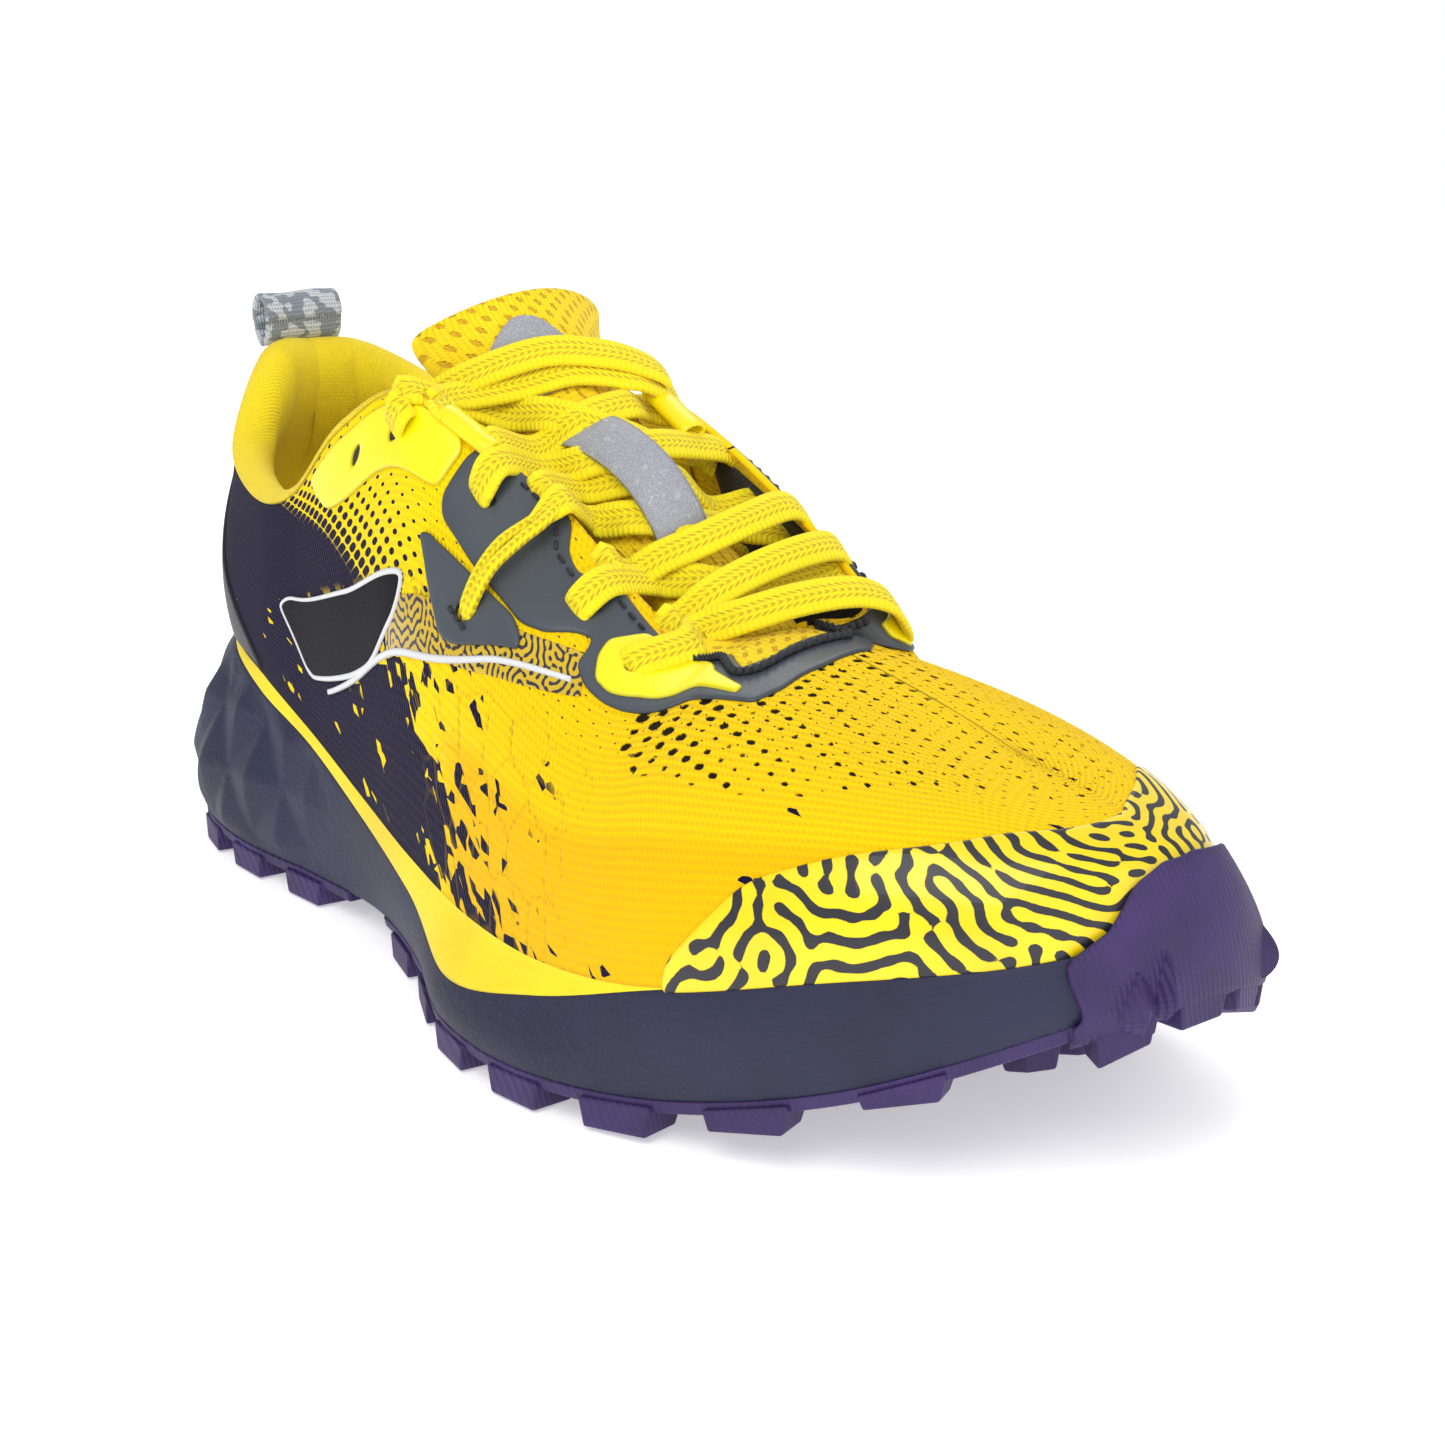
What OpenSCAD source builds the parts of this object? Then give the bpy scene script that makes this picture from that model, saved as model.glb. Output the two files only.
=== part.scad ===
// Trail running shoe, right foot.
// The toe points along +X, the outer side faces -Y and the ground is at Z = 0.
// Every curved part is laid on two closed curves: the feather line, where the upper meets the
// sole, and the top edge of the upper. A place on the upper is given by a station, counted
// around the shoe from the heel (0) over the outer side to the toe (12) and back over the inner
// side (24), and by a height from 0 at the feather line to 1 at the top edge.

/* [Size] */
// Length from the heel to the front of the toe bumper
shoe_length = 306.8; // [240:0.1:330]

/* [Upper] */
// Thickness of the knitted upper
knit = 1.4; // [1:0.1:2]
// Thickness of a welded film
film = 0.6; // [0.4:0.1:0.8]
// Free gap between neighbouring layers
gap = 0.4; // [0.3:0.05:0.4]
// Thickness of the heel counter
counter = 1.4; // [1:0.1:1.6]
// Thickness of the collar padding
padding = 4; // [2:0.5:4.5]

/* [Sole] */
// Thickness of the rubber plates
plate = 2.4; // [1.5:0.1:3]
// Wall of the midsole cup
cup_wall = 6; // [4:0.5:7]
// Depth of the foot bed below the feather line
bed_depth = 10; // [8:0.5:12]
// Thickness of the insole at its edge
insole_thickness = 4.5; // [3:0.5:6]
// Thickness of the strobel board
board = 1.4; // [1:0.1:2]

/* [Tongue] */
// Thickness of the tongue padding
tongue_padding = 4; // [3:0.5:5]
// Width of the tongue at its base
tongue_base_width = 23; // [20:1:28]
// Width of the tongue at its top
tongue_top_width = 54; // [40:1:60]

/* [Lace] */
// Width of the flat lace
lace_width = 7; // [5:0.5:8]
// Thickness of the flat lace
lace_thickness = 2; // [1.5:0.1:2.2]
// Length of an aglet
aglet_length = 15; // [12:1:18]
// Diameter of an aglet
aglet_diameter = 4.6; // [4:0.1:5]

/* [Hidden] */

drawn_length = 306.8;          // length at which the stations below are drawn
fit = shoe_length / drawn_length;
centre = [147.5, -5.15, 0];    // middle of the drawn shoe, on the ground
half = 12;                     // station of the toe
ridge = 9;                     // station where the throat ends and the vamp closes
per_station = 3;               // columns of facets from one station to the next
columns = 2 * half * per_station;
step = 0.01;                   // small step for slopes

// Stations from heel to toe: x, outer y, inner y, outer z, inner z of the feather line
feather_rows = [
    [6, 0, 0, 52, 52], [11, -17, 17, 51, 51], [25, -29, 28, 48, 48], [50, -35, 33, 44.5, 45],
    [78, -38, 32, 37.5, 40], [106, -42, 31, 31, 36], [136, -48, 33, 27, 33],
    [166, -53.5, 38, 25, 31], [196, -56, 44, 25.5, 30], [225, -53, 46, 29, 31],
    [254, -40, 43.5, 36, 36.5], [280, -19, 28, 41.5, 41.5], [291, 8, 8, 45, 45]];
// The same for the bottom edge of the midsole
tread_rows = [
    [-2, 0, 0, 14, 14], [3, -22, 22, 11, 11], [19, -37, 36, 7.5, 7.5], [46, -42, 39, 6.5, 6.5],
    [78, -40.5, 35, 6.5, 6.5], [108, -41, 33, 6.5, 6.5], [138, -49, 35, 6.5, 6.5],
    [168, -61, 42, 6.5, 6.5], [198, -62, 50, 6.5, 6.5], [228, -52, 53, 8.5, 8.5],
    [259, -36.5, 48, 17, 17], [286, -12, 33, 31, 31], [297, 11, 11, 38, 38]];
// Top edge of the upper on each side, from the back of the collar to the foot of the throat
outer_rim = [[9, 0, 111], [13, -12, 110], [22, -25, 92], [50, -34, 85.5], [72, -36, 90],
             [95, -36, 107], [118, -31, 116], [150, -21, 99], [184, -16, 78], [194.5, 4, 76.3]];
inner_rim = [[9, 0, 111], [13, 13, 110], [24, 25, 103], [50, 33, 92], [72, 36, 93],
             [95, 35, 102], [120, 29, 108], [160, 21, 100], [195.5, 20, 80.5], [194.5, 4, 76.3]];
// Ridge of the vamp from the foot of the throat towards the toe
ridge_line = [[194.5, 4, 76.3], [212, 4.5, 74], [234, 4.5, 70.5], [254, 5, 66]];

// Shape of the cross-sections at the stations, outer side and inner side from heel to toe
outer_rise = [.45, .45, .45, .45, .45, .45, .5, .55, .62, .66, .7, .72, .75];
inner_rise = [.45, .45, .45, .45, .45, .42, .4, .4, .42, .48, .55, .62, .75];
outer_swell = [6, 6, 5, 3, 2, 3, 3, 3, 3, 3, 3, 3, 3];
inner_swell = [6, 6, 5, 3, 2, 2, 1, 0, 0, 0, 1, 2, 3];
outer_crown = [0, 0, .1, .2, .25, .3, .45, .5, .5, .5, .5, .5, .5];
inner_crown = [0, 0, .1, .2, .25, .3, .3, .3, .3, .3, .35, .42, .5];
outer_drop = [.3, .3, .25, .25, .25, .3, .22, .18, .1, 0, 0, 0, 0];
inner_drop = [.3, .3, .25, .25, .25, .3, .25, .2, .1, 0, 0, 0, 0];
flare = [9, 9, 7, 4.5, 3, 2.5, 2.5, 2.5, 2.5, 2.5, 2.5, 2.5, 2.5];
// Share of the midsole wall below the seam between its two layers
seam_share = [.95, .95, .94, .91, .91, .84, .71, .45, .7, .9, .89, .82, .75];

// Smooth curve through four neighbouring values
function between(a, b, c, d, f) =
    0.5 * (2 * b + (c - a) * f + (2 * a - 5 * b + 4 * c - d) * f * f
           + (3 * b - a - 3 * c + d) * f * f * f);
// Value at place t on an open row of values
function along(row, t) =
    let (last = len(row) - 1, s = min(max(t, 0), last), i = min(floor(s), last - 1))
    between(row[max(i - 1, 0)], row[i], row[i + 1], row[min(i + 2, last)], s - i);
// Value at place t on a closed row of values
function around(row, t) =
    let (n = len(row), i = floor(t))
    between(row[(i + n - 1) % n], row[(i + n) % n], row[(i + n + 1) % n], row[(i + n + 2) % n], t - i);
// Closed row from the outer side and the inner side
function both(outer, inner) =
    concat(outer, [for (i = [len(inner) - 2 : -1 : 1]) inner[i]]);
function bezier(a, b, c, d, t) =
    pow(1 - t, 3) * a + 3 * pow(1 - t, 2) * t * b + 3 * (1 - t) * t * t * c + pow(t, 3) * d;
function unit(v) = v / max(norm(v), 0.000001);
function ease(x) = let (c = min(max(x, 0), 1)) c * c * (3 - 2 * c);
function flat(lists) = [for (l = lists) each l];
function plan(p) = [p.x, p.y, 0];

feather = both([for (r = feather_rows) [r[0], r[1], r[3]]], [for (r = feather_rows) [r[0], r[2], r[4]]]);
tread = both([for (r = tread_rows) [r[0], r[1], r[3]]], [for (r = tread_rows) [r[0], r[2], r[4]]]);
rise = both(outer_rise, inner_rise);
swell = both(outer_swell, inner_swell);
crown = both(outer_crown, inner_crown);
drop = both(outer_drop, inner_drop);
flares = both(flare, flare);
seam_shares = both(seam_share, seam_share);

// Station counted from the heel on either side
function from_heel(u) = let (w = (u + 2 * half) % (2 * half)) w > half ? 2 * half - w : w;
function is_inner(u) = (u + 2 * half) % (2 * half) > half;
// Top edge of the upper
function rim(u) =
    let (s = from_heel(u))
    s >= ridge ? along(ridge_line, s - ridge) : along(is_inner(u) ? inner_rim : outer_rim, s);
// Fall of the vamp ridge towards the toe
function ridge_fall(s) =
    let (t = min(max(s - ridge, 0.1), 2.9), d = along(ridge_line, t + 0.1) - along(ridge_line, t - 0.1))
    d.z / d.x;
// Horizontal direction out of the shoe at the feather line
function outward(u) =
    let (d = around(feather, u + step) - around(feather, u - step)) unit([d.y, -d.x, 0]);

// Point of the upper's outer face
function upper(u, v) =
    let (s = from_heel(u), side = is_inner(u) ? 1 : -1,
         f = around(feather, u), t = rim(u), run = norm(plan(f - t)), tall = t.z - f.z,
         turn = ease(s - 8) * (1 - ease(s - 11)),
         away = unit(unit(plan(f - t)) * (1 - turn) + [0, side, 0] * turn),
         leave = away + [0, 0, away.x * ridge_fall(s) * ease(s - 8)],
         low = f + [0, 0, tall * around(rise, u)] + outward(u) * around(swell, u),
         high = t + leave * run * around(crown, u) - [0, 0, tall * around(drop, u)])
    bezier(f, low, high, t, v);
// Direction out of the upper's outer face
function upper_normal(u, v) =
    from_heel(u) > ridge && v > 1 - step
    ? unit([-ridge_fall(from_heel(u)), 0, 1])
    : let (a = upper(u + step, v) - upper(u - step, v),
           b = upper(u, min(v + step, 1)) - upper(u, max(v - step, 0)))
      unit(cross(a, b));
// Point at distance d outside the upper
function skin(u, v, d) = upper(u, v) + upper_normal(u, v) * d;

// Point of the midsole's side wall, w from 0 at the tread to 1 at the feather line
function wall(u, w) =
    let (b = around(tread, u), f = around(feather, u), tall = f.z - b.z,
         out = outward(u) * around(flares, u))
    bezier(b, b + [0, 0, 0.3 * tall] + out, f - [0, 0, 0.3 * tall] + out, f, w);

function column(i) = (i + 0.5) / per_station;
function ring_of(f) = [for (i = [0 : columns - 1]) f(column(i))];
// Ring at a share of the midsole wall, moved inwards and raised
function wall_ring(share, inwards = 0, up = 0) =
    ring_of(function (u) wall(u, share) - outward(u) * inwards + [0, 0, up]);
// Ring along the seam between the midsole's layers
function seam_ring(part = 1, inwards = 0, up = 0) =
    ring_of(function (u) wall(u, around(seam_shares, u) * part) - outward(u) * inwards + [0, 0, up]);
// Ring inside the feather line, lowered below it
function bed_ring(inwards, down) =
    ring_of(function (u) around(feather, u) - outward(u) * inwards - [0, 0, down]);

// Moves the drawn shoe to its place and size
module place() {
    scale(fit) translate(-centre) children();
}

// Closed solid through a stack of rings
module loft(rings) {
    m = len(rings[0]);
    last = len(rings) - 1;
    sides = [for (j = [0 : last - 1], i = [0 : m - 1])
        let (k = (i + 1) % m)
        each [[j * m + i, (j + 1) * m + i, (j + 1) * m + k], [j * m + i, (j + 1) * m + k, j * m + k]]];
    floor_faces = [for (i = [0 : m / 2 - 2])
        each [[i, i + 1, m - 2 - i], [i, m - 2 - i, m - 1 - i]]];
    roof_faces = [for (f = floor_faces) [for (i = [2, 1, 0]) f[i] + last * m]];
    polyhedron(flat(rings), concat(sides, floor_faces, roof_faces));
}

// Sheet on the upper over a list of columns, from height low(s) to high(s) and between the
// distances near and far from the outer face. Columns past the ridge share their top points.
module sheet(cols, low, high, near, far, rows = 4, top_closed = false) {
    n = len(cols);
    m = rows + 1;
    us = [for (c = cols) column(c)];
    ss = [for (u = us) from_heel(u)];
    points = [for (d = [far, near], k = [0 : n - 1], j = [0 : rows])
        let (a = low(ss[k]), b = high(ss[k])) skin(us[k], a + (b - a) * j / rows, d)];
    shared = [for (k = [0 : n - 1]) top_closed && ss[k] > ridge];
    function id(k, j, layer) =
        (layer * n + (shared[k] && j == rows && is_inner(us[k]) ? n - 1 - k : k)) * m + j;
    function joined(k) = (cols[(k + n) % n] + 1) % columns == cols[(k + 1 + n) % n] % columns;
    function quad(a, b, c, d) = [[a, b, c], [a, c, d]];
    faces = [for (k = [0 : n - 1]) let (r = (k + 1) % n) each concat(
        joined(k) ? flat([for (j = [0 : rows - 1]) concat(
            quad(id(k, j, 0), id(k, j + 1, 0), id(r, j + 1, 0), id(r, j, 0)),
            quad(id(k, j, 1), id(r, j, 1), id(r, j + 1, 1), id(k, j + 1, 1)))]) : [],
        joined(k) ? quad(id(k, 0, 0), id(r, 0, 0), id(r, 0, 1), id(k, 0, 1)) : [],
        joined(k) && !(shared[k] && shared[r])
            ? quad(id(r, rows, 0), id(k, rows, 0), id(k, rows, 1), id(r, rows, 1)) : [],
        joined(k) ? [] : flat([for (j = [0 : rows - 1]) concat(
            quad(id(k, j, 0), id(k, j + 1, 0), id(k, j + 1, 1), id(k, j, 1)),
            quad(id(r, j + 1, 0), id(r, j, 0), id(r, j, 1), id(r, j + 1, 1)))]))];
    polyhedron(points, [for (f = faces) if (f[0] != f[1] && f[1] != f[2] && f[0] != f[2]) f]);
}

// Columns between two stations, on the outer side, or on the inner side with the same distance
// from the heel
function outer_columns(a, b) = [for (c = [round(a * per_station) : round(b * per_station) - 1]) c];
function inner_columns(a, b) = [for (c = outer_columns(2 * half - b, 2 * half - a)) c];
// Columns around the heel as far as station a on both sides
function heel_columns(a) = concat(inner_columns(0, a), outer_columns(0, a));
// Distance of a film's inner face in a stack of films
function layer(k) = gap + k * (film + gap);
function always(x) = function (s) x;

// ---- sole ----

cup_depth = bed_depth + 3.5;   // depth of the midsole's cup below the feather line
plate_inset = 1;               // how far the rubber plate stays inside the midsole's edge
lug_depth = 5.2;               // how far a lug stands below the plate's middle
lug_taper = 0.78;              // size of a lug's foot to its root
lug_long = 13;
lug_wide = 12;
lug_point = 5;                 // length of a lug's pointed end
lug_margin = 12;               // from the sole's edge to the middle of the first lug

// Rubber plate under the midsole, from one column to another and across to the inner side
module rubber_plate(first, last) {
    rings = [for (c = [first : last])
        let (a = around(tread, column(c)) - [0, 0, gap],
             b = around(tread, column(columns - 1 - c)) - [0, 0, gap])
        [a + [0, plate_inset, 0], a + [0, 2 * plate_inset, -plate],
         b - [0, 2 * plate_inset, plate], b - [0, plate_inset, 0]]];
    loft(rings);
}

// Outer y, inner y and z of the tread at a place along the shoe
function tread_at(x) =
    let (i = [for (k = [0 : half - 1]) if (tread_rows[k][0] <= x && x < tread_rows[k + 1][0]) k][0],
         t = i + (x - tread_rows[i][0]) / (tread_rows[i + 1][0] - tread_rows[i][0]),
         r = along(tread_rows, t))
    [r[1], r[2], r[3]];

// One lug of the tread, a pointed block that narrows downwards. Its top follows the sole and it
// ends on the ground, or at its own depth where the sole rises.
module lug(x, y) {
    slab = 0.5;
    top = tread_at(x)[2] - 0.6 - plate / 2;
    slope = (tread_at(x + lug_long / 2)[2] - tread_at(x - lug_long / 2)[2]) / lug_long;
    foot = max(top - lug_depth, 0);
    outline = [[-lug_long / 2, -lug_wide / 2], [lug_long / 2 - lug_point, -lug_wide / 2],
               [lug_long / 2, 0], [lug_long / 2 - lug_point, lug_wide / 2],
               [-lug_long / 2, lug_wide / 2]];
    hull() {
        translate([x, y, top - slab]) multmatrix([[1, 0, 0, 0], [0, 1, 0, 0], [slope, 0, 1, 0]])
            linear_extrude(slab) polygon(outline);
        translate([x, y, foot]) linear_extrude(slab) polygon(outline * lug_taper);
    }
}

// Rows of lugs between two places, with a short and a long row in turn
module lugs(from, to, rows) {
    for (k = [0 : rows - 1]) {
        x = from + (to - from) * k / (rows - 1);
        t = tread_at(x);
        count = k % 2 == 0 ? 4 : 3;
        span = t[1] - t[0] - 2 * lug_margin;
        for (j = [0 : count - 1]) {
            lug(x, t[0] + lug_margin + span * j / (count - 1));
        }
    }
}

module heel_outsole() {
    place() color("#53437d") {
        rubber_plate(3, 13);
        lugs(18, 79, 4);
    }
}

module forefoot_outsole() {
    place() color("#53437d") {
        rubber_plate(15, 34);
        lugs(124, 268, 8);
        toe_bumper();
    }
}

// Rubber that wraps up over the toe, with a lip under the midsole that joins the plate
module toe_bumper() {
    near = 1.8;
    thick = 2.2;
    reach = 1.4;               // stations on each side of the toe
    count = 10;
    wall_levels = [0, 0.35, 0.7, 1];
    upper_levels = [0.35, 0.7, 1];
    lip = -7;
    sag = 0.5;
    lip_sag = 2;
    function face(u, w, d, down = 0) = wall(u, w) + outward(u) * d - [0, 0, w == 0 ? down : 0];
    function under(u, down) = let (p = face(u, 0, lip)) [p.x, p.y, tread_at(p.x)[2] - down];
    rings = [for (k = [0 : count])
        let (u = half - reach + 2 * reach * k / count,
             top = 0.24 * (1 - pow((u - half) / reach, 2)) + 0.03,
             far = near + thick)
        concat([under(u, lip_sag)],
               [for (w = wall_levels) face(u, w, near, sag)],
               [for (v = upper_levels) skin(u, top * v, near + 0.5)],
               [for (i = [2 : -1 : 0]) skin(u, top * upper_levels[i], far)],
               [for (i = [3 : -1 : 0]) face(u, wall_levels[i], far, sag + plate)],
               [under(u, lip_sag + plate)])];
    loft(rings);
}

module midsole() {
    place() color("#34385c")
        loft([wall_ring(0), seam_ring(0.35), seam_ring(0.7), seam_ring(),
              seam_ring(1, cup_wall), bed_ring(cup_wall + 1, cup_depth)]);
}

module midsole_top_layer() {
    place() color("#f6ee1c")
        loft([bed_ring(cup_wall + 2, cup_depth - gap), seam_ring(1, cup_wall + 1, 3 * gap),
              seam_ring(1, 0.2, 3 * gap), wall_ring(1), bed_ring(cup_wall + 2.6, 0.3),
              bed_ring(cup_wall + 3.2, bed_depth)]);
}

module strobel_board() {
    place() color("#e9e6dc")
        loft([bed_ring(cup_wall + 3.8, bed_depth - 0.3),
              bed_ring(cup_wall + 3.8, bed_depth - 0.3 - board)]);
}

module insole() {
    base = bed_depth - 0.6 - board;
    place() color("#22242c")
        loft([bed_ring(cup_wall + 5.5, base), bed_ring(cup_wall + 4.8, base - 1),
              bed_ring(cup_wall + 5.2, base - insole_thickness)]);
}

// ---- upper ----

hem = 0.012;                   // height of the knit's lower edge
upper_rows = 9;                // rows of facets from there to the top edge
function upper_row(j) = hem + (1 - hem) * j / upper_rows;

module upper_mesh() {
    place() color("#f2c414")
        sheet([for (c = [0 : columns - 1]) c], always(hem), always(1), -knit, 0, upper_rows, true);
}

module heel_counter() {
    place() color("#c9c2b2")
        sheet(heel_columns(3), always(0.03), always(0.6), -knit - gap - counter, -knit - gap, 5);
}

module collar_foam() {
    near = -knit - 2 * gap - counter;
    place() color("#fbf7a8")
        sheet(heel_columns(5.67), function (s) 0.62 - 0.02 * s, always(0.96), near - padding, near, 4);
}

module collar_lining() {
    near = -knit - 3 * gap - counter - padding;
    place() color("#f8ef10")
        sheet(heel_columns(6), always(0.2), always(1), near - 1, near, 7);
}

module toe_puff() {
    place() color("#b9b3a4")
        sheet(outer_columns(10.67, 13.33), always(0.03), always(0.3), -knit - gap - 1, -knit - gap, 3);
}

module toe_overlay() {
    height = [0.05, 0.2, 0.33, 0.42, 0.5];
    place() color("#f3e21a")
        sheet(outer_columns(9.33, 14.67), always(0.025), function (s) along(height, (s - 9.2) * 1.45),
              layer(0), layer(0) + film, 5);
}

// Columns of a strap that runs down one side of the throat, around its foot and up the other side
function throat_columns(a, b) = concat(outer_columns(a, b), inner_columns(a, b));

module eyestay_overlay() {
    rows = 3;
    place() color("#5c6470")
        sheet(throat_columns(6.33, 9.67), always(upper_row(upper_rows - rows)), always(1),
              layer(0), layer(0) + film, rows, true);
}

module eyestay_lining() {
    near = -knit - gap;
    place() color("#17181c") {
        sheet(outer_columns(6.67, 8.33), always(0.72), always(0.9), near - 1, near, 3);
        sheet(inner_columns(6.67, 8.33), always(0.72), always(0.9), near - 1, near, 3);
    }
}

module wing(cols) {
    place() color("#5c6470")
        sheet(cols, always(0.47), function (s) 0.72 - 0.06 * abs(s - 6.2), layer(1), layer(1) + film, 3);
}
module outer_wing() {
    wing(outer_columns(6.33, 7.33));
}
module inner_wing() {
    wing(inner_columns(6.33, 7.33));
}

module collar_patch(cols) {
    place() color("#f8ef10")
        sheet(cols, always(0.8), always(0.97), layer(1), layer(1) + film, 3);
}
module outer_collar_patch() {
    collar_patch(outer_columns(4.67, 6.33));
}
module inner_collar_patch() {
    collar_patch(inner_columns(4.67, 6.33));
}

module toe_patch(cols) {
    place() color("#f8ef10")
        sheet(cols, always(0.67), function (s) 0.87 - 0.08 * abs(s - 8), layer(1), layer(1) + film, 4);
}
module outer_toe_patch() {
    toe_patch(outer_columns(7.67, 9.33));
}
module inner_toe_patch() {
    toe_patch(inner_columns(7.67, 8.33));
}

module saddle_film(cols) {
    place() color("#3a3a44")
        sheet(cols, function (s) 0.08 + 0.1 * max(s - 4, 0), function (s) 0.62 - 0.03 * abs(s - 5),
              layer(0), layer(0) + film, 4);
}
module outer_saddle_film() {
    saddle_film(outer_columns(2.67, 6.33));
}
module inner_saddle_film() {
    saddle_film(inner_columns(2.67, 6.33));
}

module heel_film() {
    place() color("#55575e")
        sheet(heel_columns(1.67), always(0.04), function (s) 0.95 - 0.1 * s * s,
              layer(0), layer(0) + film, 7);
}

module heel_clip() {
    place() color("#8d98ab")
        sheet(heel_columns(1), always(0.02), function (s) 0.2 - 0.05 * s, layer(1), layer(1) + 1.4, 2);
}

// ---- tongue ----

tongue_spine = [[190, 75], [170, 88], [150, 102], [130, 117], [118, 128], [113, 134]];
tongue_y = 1;                  // middle of the tongue across the shoe
tongue_base_fall = 3;          // how far the tongue's edges fall below its middle at the base
tongue_top_fall = 16;          // the same at the top
tongue_cover = 1.4;            // thickness of the tongue's face
tongue_back = 1;               // thickness of the tongue's lining

// Point of the tongue: t along it, side from -1 to 1, depth below its face
function tongue_point(t, side, depth) =
    let (last = len(tongue_spine) - 1, c = along(tongue_spine, t * last),
         d = along(tongue_spine, min(t + step, 1) * last) - along(tongue_spine, max(t - step, 0) * last),
         out = unit([d.y, 0, -d.x]),
         wide = tongue_base_width + (tongue_top_width - tongue_base_width) * pow(t, 3),
         fall = (tongue_base_fall + (tongue_top_fall - tongue_base_fall) * t) * side * side)
    [c.x, tongue_y + side * wide / 2, c.y] - out * (depth + fall);

// Layer of the tongue between two depths, as a loft along the tongue. It arches up by rise_mid
// in the middle of its length.
module tongue_layer(top, bottom, reach = 1, from = 0, to = 1, rise_mid = 0) {
    across = [-1, -0.6, -0.2, 0.2, 0.6, 1] * reach;
    rings = [for (k = [0 : 7])
        let (t = from + (to - from) * k / 7, top = top - rise_mid * sin(180 * k / 7),
             bottom = bottom - rise_mid * sin(180 * k / 7))
        concat([for (i = [0 : 5]) tongue_point(t, across[i], top)],
               [for (i = [5 : -1 : 0]) tongue_point(t, across[i], bottom)])];
    loft(rings);
}

module tongue_face() {
    place() color("#f6ea12") tongue_layer(0, tongue_cover);
}
module tongue_foam() {
    top = tongue_cover + 2 * gap;
    place() color("#fbf7a8") tongue_layer(top, top + tongue_padding);
}
module tongue_lining() {
    top = tongue_cover + 4 * gap + tongue_padding;
    place() color("#eadf10") tongue_layer(top, top + tongue_back);
}
module tongue_badge() {
    place() color("#9fa3aa") tongue_layer(-0.9, -0.3, 0.3, 0.82, 0.96);
}
module lace_keeper() {
    place() color("#a7aab0") tongue_layer(-0.9, -0.3, 0.42, 0.38, 0.68, 6.5);
}

// ---- heel pull loop ----

module heel_pull_loop() {
    long = 19;                 // across the heel
    tall = 12;
    deep = 8;
    strap = 1.2;
    clear = 1.1;               // above the top edge of the heel
    place() color("#b9bfc6")
        translate([outer_rim[0].x, long / 2, outer_rim[0].z + clear + tall / 2]) rotate([90, 0, 0])
            linear_extrude(long) difference() {
                scale([1, tall / deep]) circle(d = deep, $fn = 32);
                scale([1, tall / deep]) circle(d = deep - 2 * strap, $fn = 32);
            }
}

// ---- lace ----

// Flat ribbon along a row of points, with its width turned towards a direction at each point
module ribbon(path, ways, width, thick) {
    rings = [for (k = [0 : len(path) - 1])
        let (d = unit(path[min(k + 1, len(path) - 1)] - path[max(k - 1, 0)]),
             up = unit(cross(d, ways[k])), w = unit(cross(up, d)) * width / 2, h = up * thick / 2)
        [path[k] + w - h, path[k] + w + h, path[k] - w + h, path[k] - w - h]];
    loft(rings);
}

eyelets = [[8, 0.79], [7.52, 0.85], [7.05, 0.86], [6.64, 0.84], [5.8, 0.88]];
lace_clear = 3.5;              // free height of the lace above the films
lace_on_tongue = [0.04, 0.2, 0.33, 0.53, 0.78];   // place of each run along the tongue

// Place of the lace above the films, at a station from the heel and a height on one side
function over_films(s, v, inner) =
    skin(inner ? 2 * half - s : s, v, layer(2) + lace_thickness / 2 + lace_clear);
// Direction along the throat at that place, towards the heel
function along_throat(s, v, inner) =
    unit(over_films(s - 0.2, v, inner) - over_films(s + 0.2, v, inner));

// One run of lace from an outer to an inner eyelet, over the throat's edges and the tongue
module lace_run(eye, t) {
    s = eye[0];
    v = eye[1];
    middle = tongue_point(t, 0, -3.5);
    marks = [over_films(s, v, false), over_films(s, 0.97, false), middle,
             over_films(s, 0.97, true), over_films(s, v, true)];
    turns = [along_throat(s, v, false), along_throat(s, 0.97, false),
             unit(tongue_point(t + step, 0, 0) - tongue_point(t - step, 0, 0)),
             along_throat(s, 0.97, true), along_throat(s, v, true)];
    steps = [for (k = [0 : 8]) k / 2];
    ribbon([for (k = steps) along(marks, k)], [for (k = steps) along(turns, k)],
           lace_width, lace_thickness);
}

module lace() {
    place() color("#f4ea14")
        for (k = [0 : len(eyelets) - 1]) lace_run(eyelets[k], lace_on_tongue[k]);
}

// Free ends of the lace, each lying beside the throat and ending in an aglet
outer_end = [[129, -30, 118.5], [133, -33, 119], [137, -35, 118]];
inner_end = [[124, 18, 127.5], [127, 19, 125], [130, 20, 123]];
aglet_lean = unit([0.84, 0, -0.54]);

module lace_end(points) {
    path = [for (k = [0 : 6]) along(points, k / 3)];
    place() color("#f4ea14") ribbon(path, [for (p = path) [0, 1, 0]], lace_width - 2, lace_thickness);
}
module outer_lace_end() {
    lace_end(outer_end);
}
module inner_lace_end() {
    lace_end(inner_end);
}

module aglet(points) {
    tip = points[2] + aglet_lean * 1.5;
    place() color("#f6f02a")
        translate(tip) rotate([0, 180 - atan2(aglet_lean.x, -aglet_lean.z), 0]) difference() {
            cylinder(h = aglet_length, d = aglet_diameter, $fn = 32);
            translate([0, 0, aglet_length - 3]) cylinder(h = 4, d = aglet_diameter - 1.4, $fn = 32);
        }
}
module outer_aglet() {
    aglet(outer_end);
}
module inner_aglet() {
    aglet(inner_end);
}

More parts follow.
